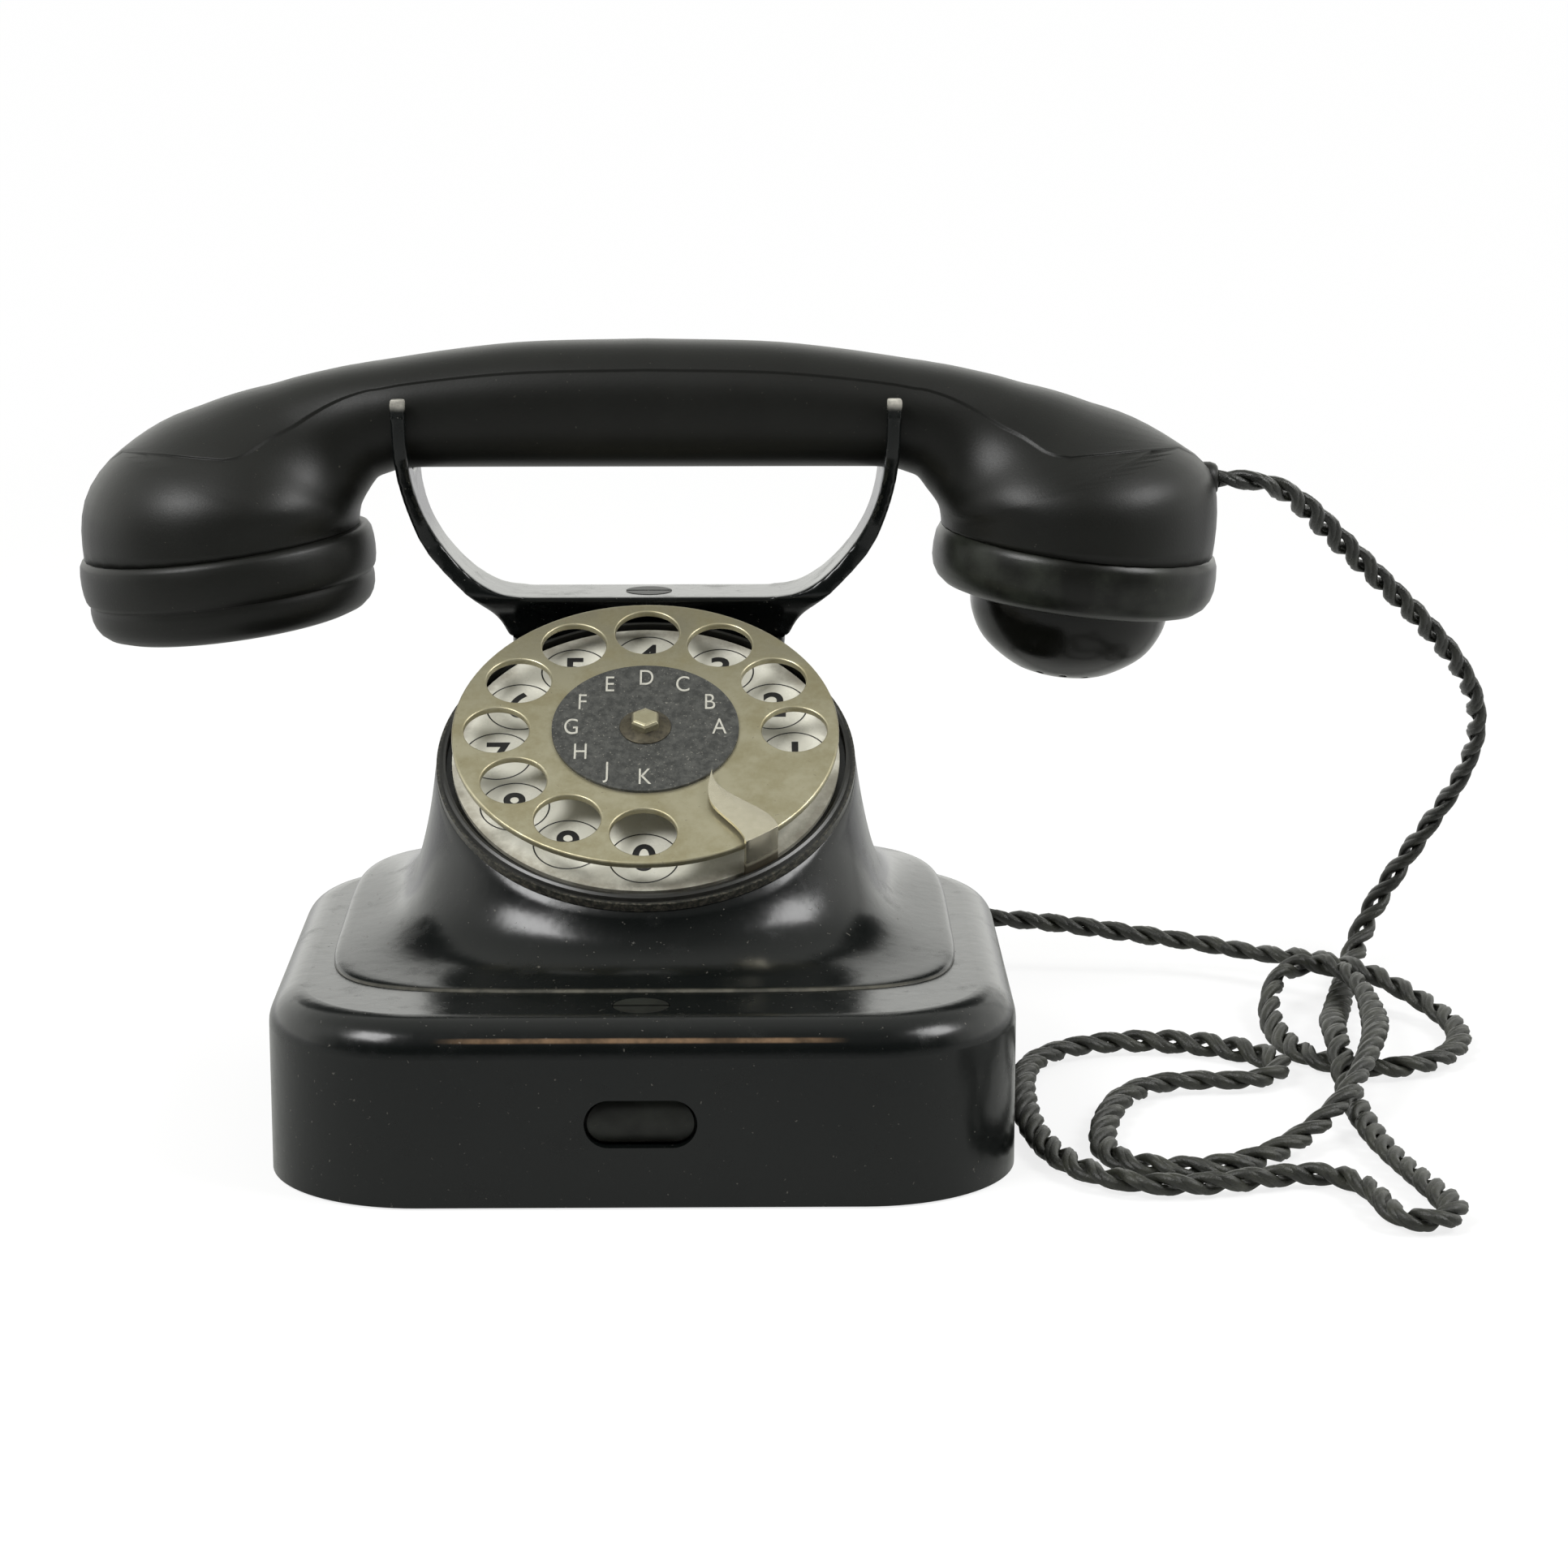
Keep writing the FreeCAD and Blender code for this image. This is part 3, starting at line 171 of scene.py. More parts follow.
def black_lacquer(name, low=0.0, high=0.0, wear=rgb(0, 0, 0), share=0.0, half_run=1.0):
    """Black lacquer, with a band of another colour between two heights and near X = 0: dust on the cover, chips on
    the fork, and wear with a painted highlight line on the base.
    """
    finish = Finish(name)
    cloud = finish.noise(24 * MM, 4)
    dust = finish.step(finish.noise(0.9 * MM, 2), 0.70, 0.76)
    smear = finish.step(finish.noise(9 * MM, 5, 0.7), 0.5, 0.75)
    colour = finish.mix(cloud, rgb(0.0016, 0.0024, 0.0024), rgb(0.0036, 0.0044, 0.0040))
    colour = finish.mix(dust * 0.25, colour, rgb(0.20, 0.19, 0.16))
    if share:
        height, across = finish.axis("Z"), finish.axis("X")
        edge = 0.35 * (high - low)
        band = finish.step(height, low, low + edge) * (1 - finish.step(height, high - edge, high))
        band = band * (1 - finish.step(across * across, 0.5 * half_run ** 2, half_run ** 2))
        band_breakup = finish.step(finish.noise(5 * MM, 4, 0.65), 0.3, 0.7)
        # On the cover the band is dust and on the fork chips; along the base's front edge it is wear and a painted
        # highlight line.
        colour = finish.mix(band * (0.3 + 0.7 * band_breakup) * share, colour, wear)
    roughness = 0.21 + 0.13 * smear + 0.3 * dust
    orange_peel = finish.noise(3.5 * MM, 2)
    return finish.surface(colour, roughness, bump=orange_peel, depth=0.04 * MM, IOR=1.4)


def ebonite(name, gloss, olive):
    """Black hard rubber; gloss is its least roughness and olive its share of faded patches."""
    finish = Finish(name)
    cloud = finish.noise(30 * MM, 4)
    dust = finish.step(finish.noise(0.8 * MM, 2), 0.72, 0.78)
    fine = finish.noise(0.5 * MM, 3, 0.6)
    fade = finish.step(finish.noise(9 * MM, 4), 0.3, 0.75)
    base = finish.mix(cloud, rgb(0.0022, 0.0024, 0.0018), rgb(0.0046, 0.0048, 0.0036))
    base = finish.mix(fade * olive, base, rgb(0.030, 0.034, 0.026))
    colour = finish.mix(dust * 0.2, base, rgb(0.16, 0.15, 0.12))
    roughness = gloss + 0.1 * cloud + 0.08 * fine
    return finish.surface(colour, roughness, bump=fine, depth=0.02 * MM, IOR=1.36)


def metal(name, bright, dull, roughness, blotch=6 * MM, patina=0.0):
    """Worn metal; patina is the share of it that is no longer bright."""
    finish = Finish(name)
    cloud = finish.step(finish.noise(blotch, 5, 0.65), 0.35, 0.72)
    spot = finish.step(finish.noise(1.1 * MM, 3), 0.66, 0.76)
    brushed = finish.noise(0.35 * MM, 2, 0.5, (1, 5, 1))
    colour = finish.mix(cloud, bright, dull)
    colour = finish.mix(spot * 0.55, colour, rgb(0.10, 0.085, 0.055))
    rough = roughness + 0.16 * cloud + 0.1 * brushed + 0.2 * spot
    return finish.surface(colour, rough, 1.0 - patina - 0.4 * spot, bump=brushed, depth=0.008 * MM)


def stop_nickel():
    """Nickel that is lighter than the wheel's as a painted highlight on the stop's bend, and stained brown with
    painted shade below the wheel's rim.
    """
    finish = Finish("stop_nickel")
    # Below the rim the colour is a brown stain with painted shade; above it the nickel is lighter than the
    # wheel's, as a painted highlight on the bend.
    above_rim = finish.step(finish.level(dial_middle, dial_axis), -4.6 * MM, -3.2 * MM)
    cloud = finish.noise(1.8 * MM, 4, 0.65)
    stain_and_shade = finish.mix(cloud, rgb(0.020, 0.016, 0.009), rgb(0.075, 0.062, 0.038))
    bright = finish.mix(cloud, rgb(0.66, 0.62, 0.49), rgb(0.52, 0.48, 0.36))
    colour = finish.mix(above_rim, stain_and_shade, bright)
    roughness, metallic = 0.55 - 0.3 * above_rim, 0.2 + 0.7 * above_rim
    return finish.surface(colour, roughness, metallic, bump=cloud, depth=0.02 * MM)


def dusty_bezel():
    """Black enamel with dust along the bezel's outer edge and along its lip."""
    finish = Finish("dusty_bezel")
    reach = finish.reach(dial_middle, dial_axis)
    outer = finish.step(reach, 41.7 * MM, 42.1 * MM)
    lip = 1 - finish.step(reach, 40.0 * MM, 40.5 * MM)
    speck = finish.step(finish.noise(0.7 * MM, 3, 0.7), 0.45, 0.62)
    dust = speck * (0.2 * outer + 0.3 * lip) + 0.05 * finish.noise(3 * MM, 4)
    colour = finish.mix(dust, rgb(0.012, 0.0125, 0.012), rgb(0.30, 0.28, 0.21))
    return finish.surface(colour, 0.32 + 0.5 * dust)


def cream_enamel():
    """Cream enamel, grimy toward the number plate's edge."""
    finish = Finish("cream_enamel")
    cloud = finish.noise(10 * MM, 4)
    edge = finish.step(finish.reach(dial_middle, dial_axis), 33 * MM, 39 * MM)
    grime = finish.step(finish.noise(6 * MM, 5, 0.7) + 0.3 * edge, 0.45, 0.95)
    colour = finish.mix(cloud, rgb(0.68, 0.67, 0.60), rgb(0.57, 0.56, 0.47))
    colour = finish.mix(grime * (0.18 + 0.55 * edge), colour, rgb(0.16, 0.14, 0.10))
    return finish.surface(colour, 0.25 + 0.3 * grime, bump=cloud, depth=0.02 * MM)


def index_card():
    """Dark printed card, mottled and specked."""
    finish = Finish("index_card")
    mottle = finish.step(finish.noise(1.6 * MM, 5, 0.7), 0.35, 0.7)
    speck = finish.step(finish.noise(0.5 * MM, 2), 0.64, 0.72)
    colour = finish.mix(mottle, rgb(0.020, 0.021, 0.019), rgb(0.055, 0.056, 0.050))
    colour = finish.mix(speck * 0.6, colour, rgb(0.22, 0.21, 0.18))
    return finish.surface(colour, 0.5 + 0.2 * mottle, bump=mottle, depth=0.05 * MM)


def ink(name, colour):
    """Printing ink that is duller where it is rubbed."""
    finish = Finish(name)
    wear = finish.step(finish.noise(0.8 * MM, 3), 0.45, 0.75)
    faded = tuple(0.75 * part for part in colour[:3]) + (1.0,)
    return finish.surface(finish.mix(wear, colour, faded), 0.45 + 0.2 * wear)


def felt():
    finish = Finish("felt")
    fibre = finish.noise(0.5 * MM, 4, 0.7)
    colour = finish.mix(fibre, rgb(0.02, 0.025, 0.018), rgb(0.07, 0.08, 0.055))
    return finish.surface(colour, 0.95, bump=fibre, depth=0.3 * MM, Sheen_Weight=0.3)


def wound_wire():
    finish = Finish("wound_wire")
    wave = {"Vector": finish.place, "Scale": 700.0}
    turns = finish.node("ShaderNodeTexWave", {"bands_direction": "X"}, wave)
    colour = finish.mix(turns, rgb(0.10, 0.025, 0.012), rgb(0.36, 0.12, 0.05))
    return finish.surface(colour, 0.3 + 0.1 * turns, 0.4, bump=turns, depth=0.1 * MM)


def insulator():
    finish = Finish("insulator")
    grain = finish.noise(4 * MM, 5, 0.65, (1, 0.3, 1))
    colour = finish.mix(grain, rgb(0.10, 0.04, 0.018), rgb(0.20, 0.09, 0.04))
    return finish.surface(colour, 0.4 + 0.15 * grain, bump=grain, depth=0.05 * MM)


def cord_yarn():
    """Black yarn, dusty where it lies on the table."""
    finish = Finish("cord_yarn")
    height = finish.axis("Z")
    dusty = 1 - finish.step(height, 4 * MM, 40 * MM)
    cloud = finish.step(finish.noise(5 * MM, 4, 0.65), 0.4, 0.7)
    thread = finish.noise(0.35 * MM, 2)
    colour = finish.mix(cloud, rgb(0.006, 0.0066, 0.005), rgb(0.013, 0.014, 0.0095))
    colour = finish.mix(dusty * (0.2 + 0.5 * cloud), colour, rgb(0.025, 0.026, 0.017))
    roughness = 0.26 + 0.14 * dusty + 0.15 * thread
    return finish.surface(colour, roughness, bump=thread, depth=0.12 * MM)


finishes = {
    "lacquer": black_lacquer("black_lacquer"),
    "ebonite": ebonite("ebonite", gloss=0.33, olive=0.03),
    "nickel": metal("nickel", rgb(0.43, 0.40, 0.28), rgb(0.30, 0.27, 0.165), roughness=0.3,
                    blotch=9 * MM, patina=0.15),
    "enamel": cream_enamel(),
    "card": index_card(),
    "felt": felt(),
    "brass": metal("brass", rgb(0.70, 0.50, 0.20), rgb(0.48, 0.33, 0.13), roughness=0.25),
    "steel": metal("steel", rgb(0.55, 0.56, 0.56), rgb(0.38, 0.38, 0.37), roughness=0.3),
    "iron": metal("iron", rgb(0.23, 0.22, 0.21), rgb(0.14, 0.12, 0.10), roughness=0.45),
    "winding": wound_wire(),
    "tin": metal("tin", rgb(0.62, 0.62, 0.60), rgb(0.45, 0.45, 0.42), roughness=0.35),
    "insulator": insulator(),
    "cord": cord_yarn(),
}
slot_of = {subpart["node"]: subpart["material_slot"] for subpart in frame["record"]["subparts"]}
polished_ebonite = ebonite("polished_ebonite", gloss=0.1, olive=0.0)
dusty_ebonite = ebonite("dusty_ebonite", gloss=0.24, olive=0.55)
# Along the base's front edge: worn lacquer and a painted highlight line.
lacquer_wear_and_highlight = black_lacquer("lacquer_wear_and_highlight", low=32.3 * MM, high=33.5 * MM,
                             wear=rgb(0.30, 0.19, 0.11), share=0.5, half_run=40 * MM)
chipped_lacquer = black_lacquer("chipped_lacquer", low=138.4 * MM, high=146 * MM,
                                wear=rgb(0.55, 0.53, 0.47), share=1.0)
dusty_lacquer = black_lacquer("dusty_lacquer", low=36.2 * MM, high=37.1 * MM,
                              wear=rgb(0.15, 0.14, 0.11), share=0.45)
satin_lacquer = ebonite("satin_lacquer", gloss=0.4, olive=0.35)
own_finishes = {
    "base_box": lacquer_wear_and_highlight,
    "upper_cover": dusty_lacquer,
    "push_key": satin_lacquer,
    "ledge_screw": satin_lacquer,
    "saddle_screw": satin_lacquer,
    "dial_bezel": dusty_bezel(),
    "dial_front_plate": finishes["lacquer"],
}


def dress(piece, material):
    piece.data.materials.clear()
    piece.data.materials.append(material)


for node, piece in frame["nodes"].items():
    dress(piece, own_finishes.get(node, finishes[slot_of[node]]))


# Making pieces


def put_in_scene(name, data):
    made = bpy.data.objects.new(name, data)
    bpy.context.scene.collection.objects.link(made)
    return made


def add_piece(name, mesh, body, slot, material, smooth=True):
    """Put a mesh in the scene as a piece that moves with a body, if one is named."""
    piece = put_in_scene(name, mesh)
    dress(piece, material)
    if smooth:
        mesh.shade_smooth()
    if body:
        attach(piece, body)
    return piece


def as_mesh(shape, name):
    """Turn a bmesh into a mesh as it is."""
    mesh = bpy.data.meshes.new(name)
    shape.to_mesh(mesh)
    shape.free()
    return mesh


def finished(shape, name):
    """Turn a bmesh into a mesh with its doubles merged and its faces outward."""
    bmesh.ops.remove_doubles(shape, verts=shape.verts, dist=1e-7)
    bmesh.ops.recalc_face_normals(shape, faces=shape.faces)
    return as_mesh(shape, name)


def mesh_of(curve):
    """The mesh of a curve or of a text."""
    holder = bpy.data.objects.new("holder", curve)
    mesh = bpy.data.meshes.new_from_object(holder)
    bpy.data.objects.remove(holder)
    return mesh


def loft(name, rings, joined=False):
    """A skin over rings of equally many points, in millimetres, capped or joined end to end."""
    shape = bmesh.new()
    loops = []
    for ring in rings:
        spots = list(ring)
        made = bmesh.ops.create_circle(shape, segments=len(spots), radius=1)
        for vertex, spot in zip(made["verts"], spots):
            vertex.co = spot * MM
        loops.append({edge for vertex in made["verts"] for edge in vertex.link_edges})
    following = loops[1:] + loops[:1] if joined else loops[1:]
    for first, second in zip(loops, following):
        bmesh.ops.bridge_loops(shape, edges=list(first | second))
    if not joined:
        for loop in (loops[0], loops[-1]):
            bmesh.ops.contextual_create(shape, geom=list(loop))
    return finished(shape, name)


def follow(table, place):
    """Smooth value at a place, through (place, value) pairs."""
    places = [pair[0] for pair in table]
    values = [pair[1] for pair in table]
    if place <= places[0]:
        return values[0]
    if place >= places[-1]:
        return values[-1]
    last = len(places) - 1
    here = max(index for index in range(last) if places[index] <= place)

    def slope(index):
        low, high = max(index - 1, 0), min(index + 1, last)
        return (values[high] - values[low]) / (places[high] - places[low])

    run = places[here + 1] - places[here]
    t = (place - places[here]) / run
    rise = values[here + 1] - values[here]
    start, end = slope(here) * run, slope(here + 1) * run
    bend, twist = 3 * rise - 2 * start - end, start + end - 2 * rise
    return values[here] + t * (start + t * (bend + t * twist))


def smooth_line(points, steps=8):
    """More points along a smooth line through the given ones."""
    places = [index / steps for index in range((len(points) - 1) * steps + 1)]
    tables = [[(index, point[axis]) for index, point in enumerate(points)] for axis in (0, 1)]
    return [tuple(follow(table, place) for table in tables) for place in places]


# Handset: rings that fan round a pivot over each bell, then run along the handle. Tables of the
# bells go by the turn round the pivot in degrees, and those of the handle by X.

fork_middle = (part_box("cradle_fork")[0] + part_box("cradle_fork")[1]) / 2
handset_y = fork_middle.y / MM
pivot_x, pivot_z = 55.5, 113.5
seam_turn, handle_turn = -7.0, 90.0
bell_steps, handle_steps, leaf_steps, flank_steps = 34, 14, 6, 16
lip_turn, lip_scale = 8, 0.86
shoulder = [(-7, 63.4), (0.7, 63.2), (6, 62.1), (11.6, 59.4), (16.6, 56.0), (25.2, 50.2),
            (34.2, 44.2), (49.3, 37.5), (60, 35.0), (70, 33.7), (80, 33.3), (85, 33.4), (90, 33.7)]
cord_boss = [(-7, 0.3), (0, 0.8), (4.5, 1.6), (7.7, 2.5), (10.7, 2.9), (13.8, 2.2), (17, 1.5),
             (24, 0.7), (34, 0)]
throat = [(-7, 5.2), (12, 5.2), (29, 5.6), (50, 6.3), (65, 7.2), (76.6, 8.4), (84, 9.4), (90, 9.9)]
mouth_throat = [(-7, 0.9), (20, 0.8), (45, 0.4), (70, 0)]
bell_half_width = [(-7, 29.6), (10, 28.4), (25, 24.0), (40, 18.4), (55, 15.0), (70, 13.5),
                   (90, 12.9)]
bell_egg = [(-7, 0), (10, 0.06), (25, 0.14), (40, 0.12), (60, 0.03), (90, 0)]
handle_power = 2.25
bell_power = [(-7, 2), (40, 2.1), (90, handle_power)]
handle_top = [(0, 151.6), (25, 151.0), (40, 149.5), (55.5, 147.2)]
handle_low = [(0, 125), (45, 125), (50, 124.9), (53, 124.5), (55.5, 123.4)]
handle_half_width = [(0, 12.5), (40, 12.6), (55.5, 13.0)]
leaf_edge_on_bell = [(15, 0.1), (17, 0.3), (19, 0.62), (23, 0.97), (27, 1.22), (31, 1.28),
                     (36, 1.26), (42, 1.22), (48, 1.19), (54, 1.15), (61, 1.09), (69, 1.02),
                     (77, 0.97), (85, 0.94), (90, 0.94)]
leaf_edge_on_handle = 0.95
leaf_rise, leaf_fade = 0.3, 0.5
leaf_height = [(13, 0), (17, leaf_rise), (90, leaf_rise)]
edge_gap = 0.022


def bent(cosine, power):
    """A cosine or sine for a ring that is squarer than an ellipse where power is over 2."""
    return math.copysign(abs(cosine) ** (2 / power), cosine)


def ring_angles(edge):
    """Angles round a ring from its top, close together at the leaf's edge."""
    half = [edge * index / leaf_steps for index in range(leaf_steps)]
    half += [edge - edge_gap, edge, edge + edge_gap, edge + 2 * edge_gap]
    rest = math.pi - edge - 2 * edge_gap
    half += [math.pi - rest + rest * index / flank_steps for index in range(1, flank_steps + 1)]
    return half + [-angle for angle in half[-2:0:-1]]


def ring_spots(out, low, half_width, power, egg, edge, leaf, place):
    """Points round a ring, sunk past the leaf's edge; place turns (along, across) into a point."""
    middle, reach = (out + low) / 2, (out - low) / 2
    for angle in ring_angles(edge):
        past = abs(angle) - edge
        sunk = leaf * math.exp(-past / leaf_fade) if past > edge_gap / 2 else 0
        shrink = 1 - sunk / reach
        along = middle + reach * shrink * bent(math.cos(angle), power)
        across = half_width * shrink * bent(math.sin(angle), power) * (1 - egg * math.cos(angle))
        yield place(along, across)


def bell_ring(side, turn, scale=1.0):
    """One ring of a bell at a turn round its pivot, in millimetres."""
    angle = math.radians(turn)
    out, low = follow(shoulder, turn), follow(throat, turn)
    if side > 0:
        out += follow(cord_boss, turn)
        low += follow(mouth_throat, turn)
    middle, reach = (out + low) / 2, (out - low) / 2 * scale

    def place(along, across):
        x = side * (pivot_x + along * math.cos(angle))
        return Vector((x, handset_y + across, pivot_z + along * math.sin(angle)))

    return ring_spots(middle + reach, middle - reach, follow(bell_half_width, turn) * scale,
                      follow(bell_power, turn), follow(bell_egg, turn),
                      follow(leaf_edge_on_bell, turn), follow(leaf_height, turn), place)


def handle_ring(x):
    """One ring of the handle at a place along it, in millimetres."""
    def place(along, across):
        return Vector((x, handset_y + across, along))

    out, low = follow(handle_top, abs(x)), follow(handle_low, abs(x))
    half_width = follow(handle_half_width, abs(x))
    return ring_spots(out, low, half_width, handle_power, 0, leaf_edge_on_handle, leaf_rise, place)


def handset_body():
    """Bells and handle in one skin, with a lip at each end that goes into the bell's cap."""
    sweep = handle_turn - seam_turn
    turns = [seam_turn + sweep * index / bell_steps for index in range(bell_steps)]
    spans = [pivot_x * index / handle_steps for index in range(-handle_steps, handle_steps + 1)]
    rings = [bell_ring(-1, lip_turn, lip_scale), bell_ring(-1, seam_turn, lip_scale)]
    rings += [bell_ring(-1, turn) for turn in turns]
    rings += [handle_ring(x) for x in spans]
    rings += [bell_ring(1, turn) for turn in reversed(turns)]
    rings += [bell_ring(1, seam_turn, lip_scale), bell_ring(1, lip_turn, lip_scale)]
    return loft("handset_shell", rings)


handset = add_piece("handset_shell", handset_body(), "handset", "ebonite", finishes["ebonite"])
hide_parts("handset_body")


# Upper cover: rounded oblongs that flare up into the tilted collar, and the tower for the cradle

cover_low, cover_high = (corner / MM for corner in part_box("upper_cover"))
collar_radius, collar_drop, collar_lip, cover_wall = 42.6, 9.0, 37.4, 2.6
collar = Vector(dial_middle) / MM - collar_drop * Vector(dial_axis)
collar_edge = [(collar_radius - 0.1, 0.25), (collar_radius - 0.5, 0), (collar_lip, 0),
               (collar_lip, cover_wall)]
cover_flare = [(1, 0), (1, 0.03), (0.988, 0.06), (0.955, 0.08), (0.9, 0.092), (0.81, 0.102),
               (0.7, 0.115), (0.59, 0.132), (0.485, 0.157), (0.395, 0.193), (0.315, 0.248),
               (0.24, 0.332), (0.175, 0.45), (0.11, 0.61), (0.05, 0.8), (0, 1)]
rim_squareness, tower_squareness, flare_setback = 5.0, 4.0, 3.0
oval_points, flare_steps = 144, 4
fork_foot, fork_tip = 89, 141
tower_flare = [(8.5, 0), (3.8, 0.3), (0.9, 0.6), (0.3, 0.8), (1.2, 0.99), (0.9, 1)]
tower_gap = 0.1
tower_half_width, tower_half_depth, tower_y = 27.5, 8.0, handset_y - 0.5


def oval(half_x, half_y, power, middle, lean=0.0):
    """A ring between an ellipse and an oblong, leaning back about X."""
    turn = Matrix.Rotation(lean, 3, "X")
    spots = []
    for index in range(oval_points):
        angle = math.tau * (index + 0.5) / oval_points
        across, along = bent(math.cos(angle), power), bent(math.sin(angle), power)
        spots.append(middle + turn @ Vector((half_x * across, half_y * along, 0)))
    return spots


def cover_ring(spread, rise, inset):
    """A ring of the flare, from the square rim (spread 1) up to the round collar (rise 1)."""
    half_depth = (cover_high.y - cover_low.y) / 2
    rim_y = (cover_high.y + cover_low.y) / 2
    half_x = collar_radius + (cover_high.x - collar_radius) * spread - inset
    half_y = collar_radius + (half_depth - collar_radius) * spread - inset
    y = rim_y + (collar.y - rim_y) * rise + flare_setback * math.sin(math.pi * rise)
    z = cover_low.z + (collar.z - cover_low.z) * rise
    squareness = 2 + (rim_squareness - 2) * spread
    return oval(half_x, half_y, squareness, Vector((0, y, z)), rise * dial_tilt)


def collar_ring(radius, drop):
    """A ring of the collar at a depth below its top."""
    return oval(radius, radius, 2, collar - drop * Vector(dial_axis), dial_tilt)


def cover_shell():
    """The flare with its inner wall, and the tower standing in it."""
    flare = smooth_line(cover_flare, flare_steps)
    rings = [cover_ring(spread, rise, 0) for spread, rise in flare[:-1]]
    rings += [collar_ring(radius, drop) for radius, drop in collar_edge]
    # The inner wall follows every third row of the flare, from the collar down.
    rings += [cover_ring(spread, rise, cover_wall) for spread, rise in cover_flare[-4::-3]]
    shell = loft("cover_shell", rings, joined=True)
    foot = cover_low.z + cover_wall
    height = fork_foot - tower_gap - foot
    rings = [oval(tower_half_width + spread, tower_half_depth, tower_squareness,
                  Vector((0, tower_y, foot + height * rise)))
             for spread, rise in smooth_line(tower_flare, flare_steps)]
    tower = loft("tower", rings)
    shape = bmesh.new()
    for mesh in (shell, tower):
        shape.from_mesh(mesh)
    return as_mesh(shape, "cover_shell")


cover = add_piece("cover_shell", cover_shell(), "base", "lacquer", dusty_lacquer)
cover.modifiers.new("normals", "WEIGHTED_NORMAL")
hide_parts("upper_cover")


# Dial lettering: digits and rings on the number plate, letters on the card

dial_place = Matrix.Translation(dial_middle) @ Matrix.Rotation(dial_tilt, 4, "X")
hole_count, hole_step = 10, math.radians(30)
hole_radius, number_radius, letter_radius = 30 * MM, 30.2 * MM, 14.9 * MM
ring_inner, ring_outer, ring_steps = 6.75 * MM, 7.05 * MM, 48
ink_thickness = 0.02 * MM


def levels_of(node):
    """Lowest and highest level of a dial piece over the finger wheel's middle."""
    there = dial_place.inverted()
    levels = [(there @ vertex.co).z for vertex in frame["nodes"][node].data.vertices]
    return min(levels), max(levels)


def dial_spot(index, radius, level=0.0):
    """A place on the dial in line with one of its finger holes."""
    turn = index * hole_step
    return Vector((radius * math.cos(turn), radius * math.sin(turn), level))


plate_top, card_top = levels_of("number_plate")[1], levels_of("letter_card")[1]


def words_mesh(name, words, size, narrow, bold, level, radius):
    """Upright characters in a circle, one for each finger hole."""
    shape = bmesh.new()
    for index, word in enumerate(words):
        text = bpy.data.curves.new("word", "FONT")
        text.body = word
        text.size = size
        text.align_x = "CENTER"
        text.align_y = "CENTER"
        text.offset = bold
        text.extrude = ink_thickness
        flat = mesh_of(text)
        spot = Matrix.Translation(dial_spot(index, radius, level))
        flat.transform(dial_place @ spot @ Matrix.Diagonal((narrow, 1, 1, 1)))
        shape.from_mesh(flat)
        bpy.data.meshes.remove(flat)
    return as_mesh(shape, name)


def number_rings():
    """A thin ring round each number."""
    shape = bmesh.new()
    for index in range(hole_count):
        spot = dial_spot(index, hole_radius, plate_top + ink_thickness)
        ends = [shape.verts.new(spot + Vector((reach, 0, 0))) for reach in (ring_inner, ring_outer)]
        edge = shape.edges.new(ends)
        bmesh.ops.spin(shape, geom=ends + [edge], cent=spot, axis=(0, 0, 1), angle=math.tau,
                       steps=ring_steps, use_merge=True)
    shape.transform(dial_place)
    return finished(shape, "number_rings")


black_ink = ink("black_ink", rgb(0.012, 0.012, 0.012))
pale_ink = ink("pale_ink", rgb(0.40, 0.39, 0.34))
numbers = words_mesh("dial_numbers", "1234567890", size=10.4 * MM, narrow=0.95, bold=0.2 * MM,
                     level=plate_top, radius=number_radius)
letters = words_mesh("index_letters", "ABCDEFGHJK", size=6.7 * MM, narrow=0.66, bold=-0.03 * MM,
                     level=card_top, radius=letter_radius)
add_piece("dial_numbers", numbers, "base", "enamel", black_ink, smooth=False)
add_piece("number_rings", number_rings(), "base", "enamel", black_ink, smooth=False)
add_piece("index_letters", letters, "dial", "card", pale_ink, smooth=False)


# Cradle fork: a lyre seen from the front, cut to its outline seen from the side


def slab(outline, place, reach):
    """A closed outline made solid; place turns (sideways, up, deep) into a point."""
    shape = bmesh.new()
    near = [shape.verts.new(Vector(place(u, v, -reach)) * MM) for u, v in outline]
    face = shape.faces.new(near)
    made = bmesh.ops.extrude_face_region(shape, geom=[face])
    far = [item for item in made["geom"] if isinstance(item, bmesh.types.BMVert)]
    depth = Vector(place(0, 0, reach)) - Vector(place(0, 0, -reach))
    bmesh.ops.translate(shape, verts=far, vec=depth * MM)
    return finished(shape, "slab")


def shared(first, second, operation):
    """The meeting (or the first less the second) of two closed meshes."""
    pair = [put_in_scene("blank", mesh) for mesh in (first, second)]
    cutter = pair[0].modifiers.new("cut", "BOOLEAN")
    cutter.operation = operation
    cutter.object = pair[1]
    cutter.solver = "EXACT"
    graph = bpy.context.evaluated_depsgraph_get()
    mesh = bpy.data.meshes.new_from_object(pair[0].evaluated_get(graph))
    for blank in pair:
        bpy.data.objects.remove(blank)
    return mesh


def soften(piece, width, angle=35):
    """Round a piece's edges that are sharper than an angle."""
    rounding = piece.modifiers.new("rounding", "BEVEL")
    rounding.width = width
    rounding.segments = 3
    rounding.limit_method = "ANGLE"
    rounding.angle_limit = math.radians(angle)
    rounding.harden_normals = True


